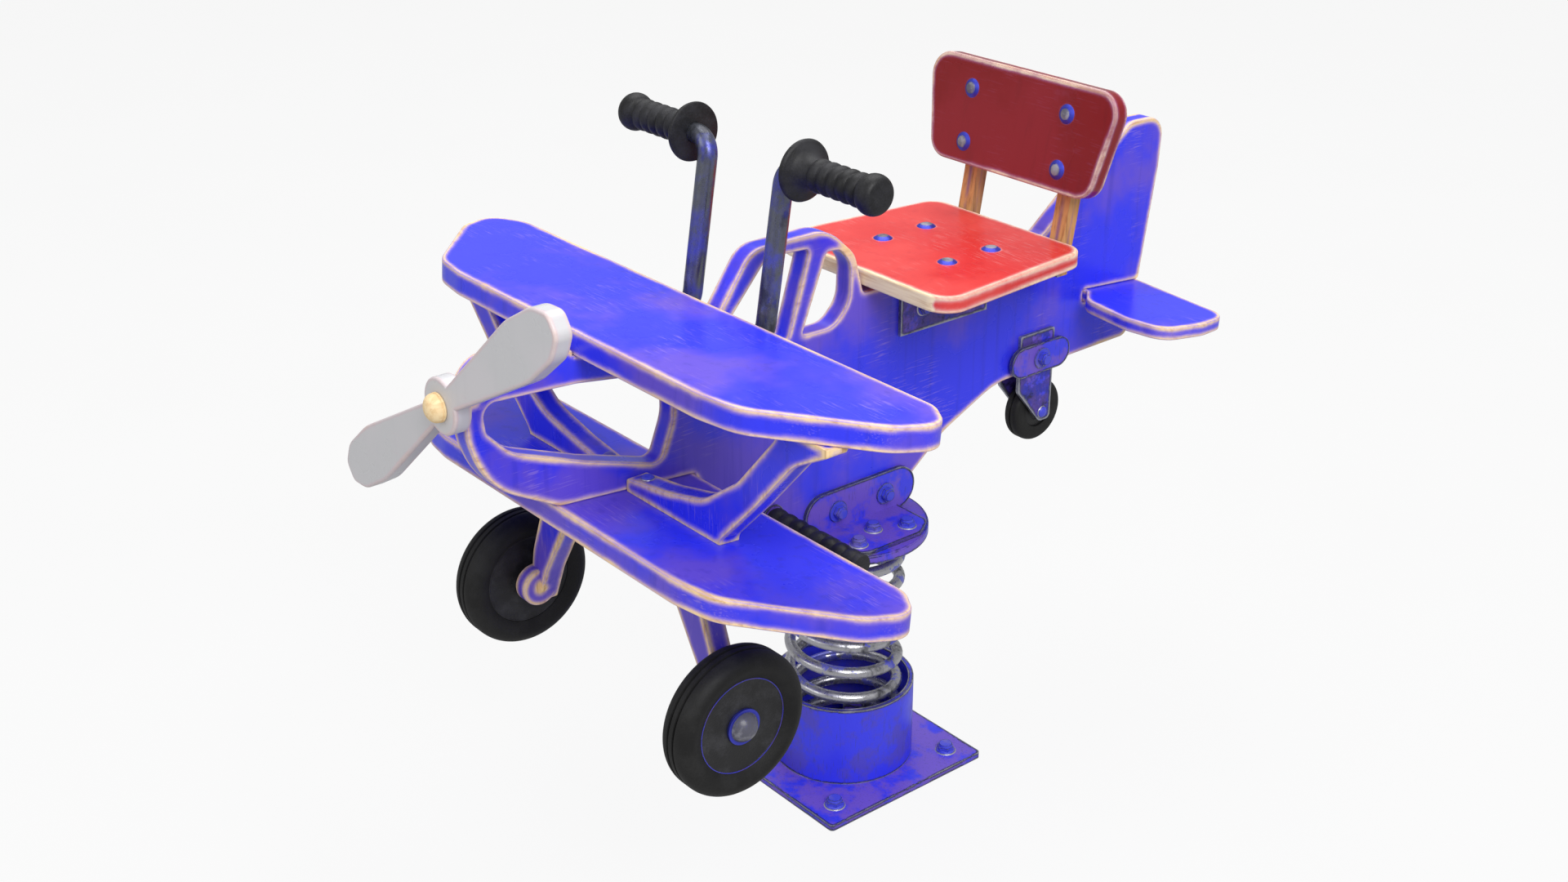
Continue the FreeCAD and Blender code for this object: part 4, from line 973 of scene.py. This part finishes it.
@dataclass
class HandGrips:
    """The two rubber grips with a hand guard flange, ribs and a bulb end."""

    bore: float = 12.8 * MM
    flange: float = 37.3 * MM
    body: float = 17.3 * MM
    bulb: float = 24.3 * MM
    ribs: int = 5
    rib_high: float = 3.0 * MM
    rib_steps: int = 8
    ribs_from: float = 26.0 * MM
    ribs_short: float = 27.0 * MM
    bulb_back: float = 13.0 * MM
    bulb_half: float = 12.9 * MM
    bulb_steps: int = 12

    def build(self, rubber: bpy.types.Material) -> None:
        """Makes the left grip and copies it to the right.

        Args:
            rubber: the grips' finish.
        """
        low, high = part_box("grip_left")
        length = high.y - low.y
        centre = ((low.x + high.x) / 2.0, low.y, (low.z + high.z) / 2.0)
        profile = [(0.0, self.bore), (0.0, self.flange - 2.5 * MM), (1.2 * MM, self.flange - 0.6 * MM),
                   (3.2 * MM, self.flange), (5.2 * MM, self.flange - 0.8 * MM),
                   (6.8 * MM, self.flange - 3.5 * MM), (8.5 * MM, self.flange - 10.0 * MM),
                   (11.5 * MM, self.body + 6.0 * MM),
                   (16.0 * MM, self.body + 2.2 * MM), (22.0 * MM, self.body + 0.3 * MM)]
        pitch = (length - self.ribs_short - self.ribs_from) / self.ribs
        for rib in range(self.ribs):
            foot = self.ribs_from + rib * pitch
            for step in range(self.rib_steps + 1):
                along = foot + pitch * (0.08 + 0.84 * step / self.rib_steps)
                profile.append((along, self.body + self.rib_high * swell(step, self.rib_steps, 0.6)))
        neck = self.body - 2.0 * MM
        for step in range(self.bulb_steps):
            turn = math.radians(160.0 - 160.0 * step / self.bulb_steps)
            radius = neck + (self.bulb - self.body + 2.0 * MM) * math.sin(turn)
            profile.append((length - self.bulb_back + self.bulb_half * math.cos(turn), radius))
        profile.append((length - self.bulb_back + self.bulb_half, 9.0 * MM))
        profile += [(length, 0.0), (length - 5.0 * MM, 0.0), (length - 5.0 * MM, self.bore), (0.0, self.bore)]
        left = turned("grip_rubber_left", profile, centre, ALONG_Y, 80)
        smooth(left, 40.0)
        right = twin(left, "grip_rubber_right")
        for piece, side in ((left, Side.LEFT), (right, Side.RIGHT)):
            dress(piece, rubber)
            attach(piece, "rider")
            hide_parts(f"grip_{side.value}")
        log.info("hand grips: two")


@dataclass
class FootRests:
    """The two ringed rubber sleeves on the foot bar."""

    bore: float = 8.3 * MM
    outside: float = 14.9 * MM
    rings: int = 8
    ring_deep: float = 3.2 * MM
    ring_steps: int = 5

    def build(self, rubber: bpy.types.Material) -> None:
        """Makes the left sleeve and copies it to the right.

        Args:
            rubber: the sleeves' finish.
        """
        low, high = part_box("foot_rest_left")
        length = high.y - low.y
        centre = ((low.x + high.x) / 2.0, low.y, (low.z + high.z) / 2.0)
        profile = [(0.0, self.bore)]
        pitch = (length - 8.0 * MM) / self.rings
        for ring in range(self.rings):
            for step in range(self.ring_steps + 1):
                along = ring * pitch + pitch * 0.96 * step / self.ring_steps
                sunk = self.ring_deep * (1.0 - swell(step, self.ring_steps, 0.5))
                profile.append((along, self.outside - sunk))
        profile += [(length - 7.5 * MM, self.outside), (length - 2.5 * MM, self.outside),
                    (length - 0.7 * MM, self.outside - 1.2 * MM), (length, self.outside - 4.0 * MM),
                    (length, 0.0), (length - 3.0 * MM, 0.0), (length - 3.0 * MM, self.bore), (0.0, self.bore)]
        left = turned("foot_rest_rubber_left", profile, centre, ALONG_Y, 64)
        smooth(left, 40.0)
        right = twin(left, "foot_rest_rubber_right")
        for piece, side in ((left, Side.LEFT), (right, Side.RIGHT)):
            dress(piece, rubber)
            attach(piece, "rider")
            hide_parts(f"foot_rest_{side.value}")
        log.info("foot rests: two")


@dataclass
class PropellerCap:
    """The turned knob over the propeller's shaft."""

    groove: float = 1.2 * MM
    dome_from: float = 5.2 * MM
    dome_steps: int = 12

    def build(self, finish: TurnedPine) -> None:
        """Makes the cap.

        Args:
            finish: its finish.
        """
        low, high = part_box("propeller_cap")
        radius = (high.z - low.z) / 2.0
        length = high.x - low.x
        centre = (low.x, (low.y + high.y) / 2.0, (low.z + high.z) / 2.0)
        sunk = radius - self.groove
        dome = radius - 0.4 * MM
        profile = [(0.0, 0.0), (0.0, radius - 1.0 * MM), (1.0 * MM, radius), (3.0 * MM, radius),
                   (3.6 * MM, sunk), (4.6 * MM, sunk), (self.dome_from, dome)]
        for step in range(1, self.dome_steps):
            turn = math.radians(90.0 * step / self.dome_steps)
            along = self.dome_from + (length - self.dome_from) * math.sin(turn)
            profile.append((along, dome * math.cos(turn)))
        profile.append((length, 0.0))
        piece = turned("propeller_cap_pine", profile, centre, ALONG_X, 64)
        smooth(piece, 40.0)
        dress(piece, finish.material("turned_pine"))
        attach(piece, "propeller")
        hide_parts("propeller_cap")
        log.info("propeller cap: one turned knob")


@dataclass
class PaintedBoards:
    """The wooden boards, each with its paint and the way its wood runs."""

    blue: WornBoardPaint = WornBoardPaint((0.030, 0.038, 0.84), (0.15, 0.085, 0.58), (0.02, 0.02, 0.40))
    coral: WornBoardPaint = WornBoardPaint(
        (0.64, 0.030, 0.030), (0.72, 0.060, 0.055), (0.50, 0.02, 0.03), fringe=(0.80, 0.46, 0.46),
        wood_light=(0.96, 0.80, 0.54), wood_dark=(0.70, 0.48, 0.26), bare_front_x=-14.5 * MM)
    red: WornBoardPaint = WornBoardPaint(
        (0.21, 0.006, 0.009), (0.25, 0.010, 0.018), (0.15, 0.005, 0.008), fringe=(0.40, 0.16, 0.34),
        wood_light=(0.92, 0.76, 0.54), scratches=0.08, wear_reach=0.009)
    # The back posts: the blue boards' finish with more real wear at the arrises, but their darker blue paint
    # and dark brown wood are painted shade.
    post: WornBoardPaint = WornBoardPaint(
        (0.030, 0.038, 0.60), (0.15, 0.075, 0.45), (0.02, 0.02, 0.30), fringe=(0.34, 0.16, 0.12),
        wood_light=(0.62, 0.32, 0.12), wood_dark=(0.30, 0.13, 0.05), wear_reach=0.012, wear=0.26)
    grey: WornBoardPaint = WornBoardPaint(
        (0.60, 0.60, 0.62), (0.64, 0.62, 0.65), (0.56, 0.55, 0.58), fringe=(0.66, 0.46, 0.52),
        wood_light=(0.80, 0.64, 0.54), wood_dark=(0.62, 0.45, 0.36), wear_reach=0.006, wear=-0.02,
        scratches=0.1, running=0.2)
    blue_nodes: Tuple[Tuple[str, Grain], ...] = (
        ("fuselage", Grain.ALONG_X),
        ("upper_wing", Grain.ALONG_Y),
        ("lower_wing", Grain.ALONG_Y),
        ("tailplane", Grain.ALONG_Y),
        ("strut_left", Grain.ALONG_Z),
        ("strut_right", Grain.ALONG_Z),
        ("leg_left", Grain.ALONG_Z),
        ("leg_right", Grain.ALONG_Z),
    )
    post_nodes: Tuple[str, ...] = ("back_upright_left", "back_upright_right")

    def build(self) -> None:
        """Paints every board."""
        blues = {grain: self.blue.material(f"blue_board_{grain.name.lower()}", grain) for grain in Grain}
        for node, grain in self.blue_nodes:
            dress(frame["nodes"][node], blues[grain])
        # The back posts' darker paint and dark brown wood are painted shade, on top of their real wear.
        posts = self.post.material("worn_back_post_painted_shade", Grain.ALONG_Z)
        for node in self.post_nodes:
            dress(frame["nodes"][node], posts)
        dress(frame["nodes"]["seat"], self.coral.material("coral_seat_board", Grain.ALONG_Y))
        dress(frame["nodes"]["backrest"], self.red.material("red_back_board", Grain.ALONG_Y))
        dress(frame["nodes"]["propeller"], self.grey.material("grey_propeller_board", Grain.ALONG_Y))
        log.info("boards: %d blue, %d posts and three others", len(self.blue_nodes), len(self.post_nodes))


@dataclass
class Steelwork:
    """The plates, brackets, tubes and bolts, each with its own wear."""

    plate: WornSteelPaint = WornSteelPaint(
        (0.035, 0.040, 0.74), (0.16, 0.085, 0.50), dark=(0.030, 0.032, 0.060), bright=(0.42, 0.43, 0.50),
        wear=-0.01, fading=0.45, polish=0.38)
    cup: WornSteelPaint = WornSteelPaint((0.035, 0.042, 0.80), (0.07, 0.055, 0.50), fading=0.52)
    tube: SpringSteel = SpringSteel(
        steel=(0.15, 0.16, 0.19), grime=(0.025, 0.026, 0.040), paint=(0.035, 0.042, 0.42), paint_from=0.60,
        paint_soft=0.22)
    bolt: WornSteelPaint = WornSteelPaint(
        (0.055, 0.065, 0.62), (0.16, 0.13, 0.44), dark=(0.025, 0.025, 0.05), bright=(0.50, 0.50, 0.56),
        wear_reach=0.0016, wear=-0.03, scratches=0.15)
    dome: WornSteelPaint = WornSteelPaint(
        (0.09, 0.09, 0.12), (0.30, 0.30, 0.34), dark=(0.03, 0.04, 0.42), bright=(0.06, 0.07, 0.55),
        wear_reach=0.004, wear=-0.03, scratches=0.2)
    domes: Tuple[str, ...] = ("front_axle_left", "front_axle_right", "seat_bolts", "back_bolts")
    tubes: Tuple[str, ...] = ("handle_tube_left", "handle_tube_right", "foot_peg_rod")

    def build(self) -> None:
        """Paints every steel node by its slot in the record, and some by their own names."""
        by_slot = {"blue_steel": self.plate.material("blue_plate_steel")}
        by_node = {"spring_cup": self.cup.material("blue_cup_steel")}
        by_node.update(dict.fromkeys(self.tubes, self.tube.material("blue_tube_steel")))
        by_slot["bolts"] = self.bolt.material("bolt_steel")
        by_node.update(dict.fromkeys(self.domes, self.dome.material("axle_head_steel")))
        painted = 0
        for row in frame["record"]["subparts"]:
            node, slot = row["node"], row["material_slot"]
            if slot not in by_slot:
                continue
            dress(frame["nodes"][node], by_node.get(node, by_slot[slot]))
            painted += 1
        log.info("steelwork: %d nodes painted", painted)


@dataclass
class Studio:
    """The pale floor, soft lights and camera."""

    eye: Point = (1.5417, 1.7405, 1.5616)
    look: Point = (-0.5772, -0.7007, -0.4194)
    lens: float = 44.17
    sensor: float = 36.0
    floor_size: float = 40.0
    floor_cuts: int = 3
    sky_given: float = 0.42
    sky_seen: float = 0.93
    lit: Point = (0.0, 0.0, 0.5)
    lamps: Tuple[Tuple[str, Point, float, float], ...] = (
        ("key_lamp", (1.2, 3.4, 3.6), 2.4, 165.0),
        ("fill_lamp", (3.8, -0.6, 2.6), 3.0, 35.0),
        ("top_lamp", (-1.0, -0.8, 4.2), 3.5, 125.0),
    )

    def floor(self) -> None:
        """A large flat pale floor, which is not part of the object."""
        clear_selection()
        bpy.ops.mesh.primitive_plane_add(size=self.floor_size, location=(0.0, 0.0, 0.0))
        piece = bpy.context.object
        piece.name = "studio_floor"
        bpy.ops.object.mode_set(mode="EDIT")
        bpy.ops.mesh.subdivide(number_cuts=self.floor_cuts)
        bpy.ops.object.mode_set(mode="OBJECT")
        dress(piece, StudioFloor().material("studio_floor_pale"))

    def lamp(self, name: str, place: Point, size: float, power: float) -> None:
        """One soft square lamp that faces the object.

        Args:
            name: its name.
            place: where it is.
            size: its side.
            power: its power in watts.
        """
        clear_selection()
        bpy.ops.object.light_add(type="AREA", location=place)
        lamp = bpy.context.object
        lamp.name = name
        lamp.data.shape = "SQUARE"
        lamp.data.size = size
        lamp.data.energy = power
        lamp.rotation_euler = (Vector(self.lit) - Vector(place)).to_track_quat("-Z", "Y").to_euler()

    def build(self) -> None:
        """Sets up floor, lamps, world and camera."""
        self.floor()
        for name, place, size, power in self.lamps:
            self.lamp(name, place, size, power)
        world = bpy.data.worlds.new("studio_world")
        world.use_nodes = True
        tree = world.node_tree
        background = tree.nodes["Background"]
        background.inputs["Color"].default_value = (1.0, 1.0, 1.0, 1.0)
        path = tree.nodes.new("ShaderNodeLightPath")
        strength = tree.nodes.new("ShaderNodeMapRange")
        tree.links.new(path.outputs["Is Camera Ray"], strength.inputs["Value"])
        strength.inputs["To Min"].default_value = self.sky_given
        strength.inputs["To Max"].default_value = self.sky_seen
        tree.links.new(strength.outputs["Result"], background.inputs["Strength"])
        bpy.context.scene.world = world
        bpy.context.scene.view_settings.view_transform = "Standard"
        clear_selection()
        bpy.ops.object.camera_add(location=self.eye)
        camera = bpy.context.object
        camera.name = "view_camera"
        camera.rotation_euler = Vector(self.look).to_track_quat("-Z", "Y").to_euler()
        camera.data.lens = self.lens
        camera.data.sensor_width = self.sensor
        bpy.context.scene.camera = camera
        log.info("studio: floor, lamps and camera")


def main() -> None:
    """Builds each sub-assembly in order."""
    logging.basicConfig(level=logging.INFO, format="%(name)s: %(message)s")
    PaintedBoards().build()
    Steelwork().build()
    tyre = MattRubber().material("tyre_rubber")
    disc_rubber = MattRubber(colour=(0.014, 0.014, 0.015), bloom=(0.042, 0.042, 0.046), roughness=0.40)
    disc = disc_rubber.material("hub_disc_rubber")
    grip_rubber = MattRubber(colour=(0.008, 0.008, 0.009), bloom=(0.026, 0.026, 0.030), roughness=0.5)
    grip = grip_rubber.material("grip_rubber")
    CoilSpring().build(SpringSteel())
    ring_paint = WornSteelPaint((0.035, 0.036, 0.50), (0.10, 0.06, 0.30), wear_reach=0.5 * MM)
    ring = ring_paint.material("hub_ring_paint")
    FrontWheels().build(tyre, disc, ring)
    TailWheel().build(tyre, disc)
    HandGrips().build(grip)
    FootRests().build(grip)
    PropellerCap().build(TurnedPine())
    Studio().build()


if __name__ == "__main__":
    main()
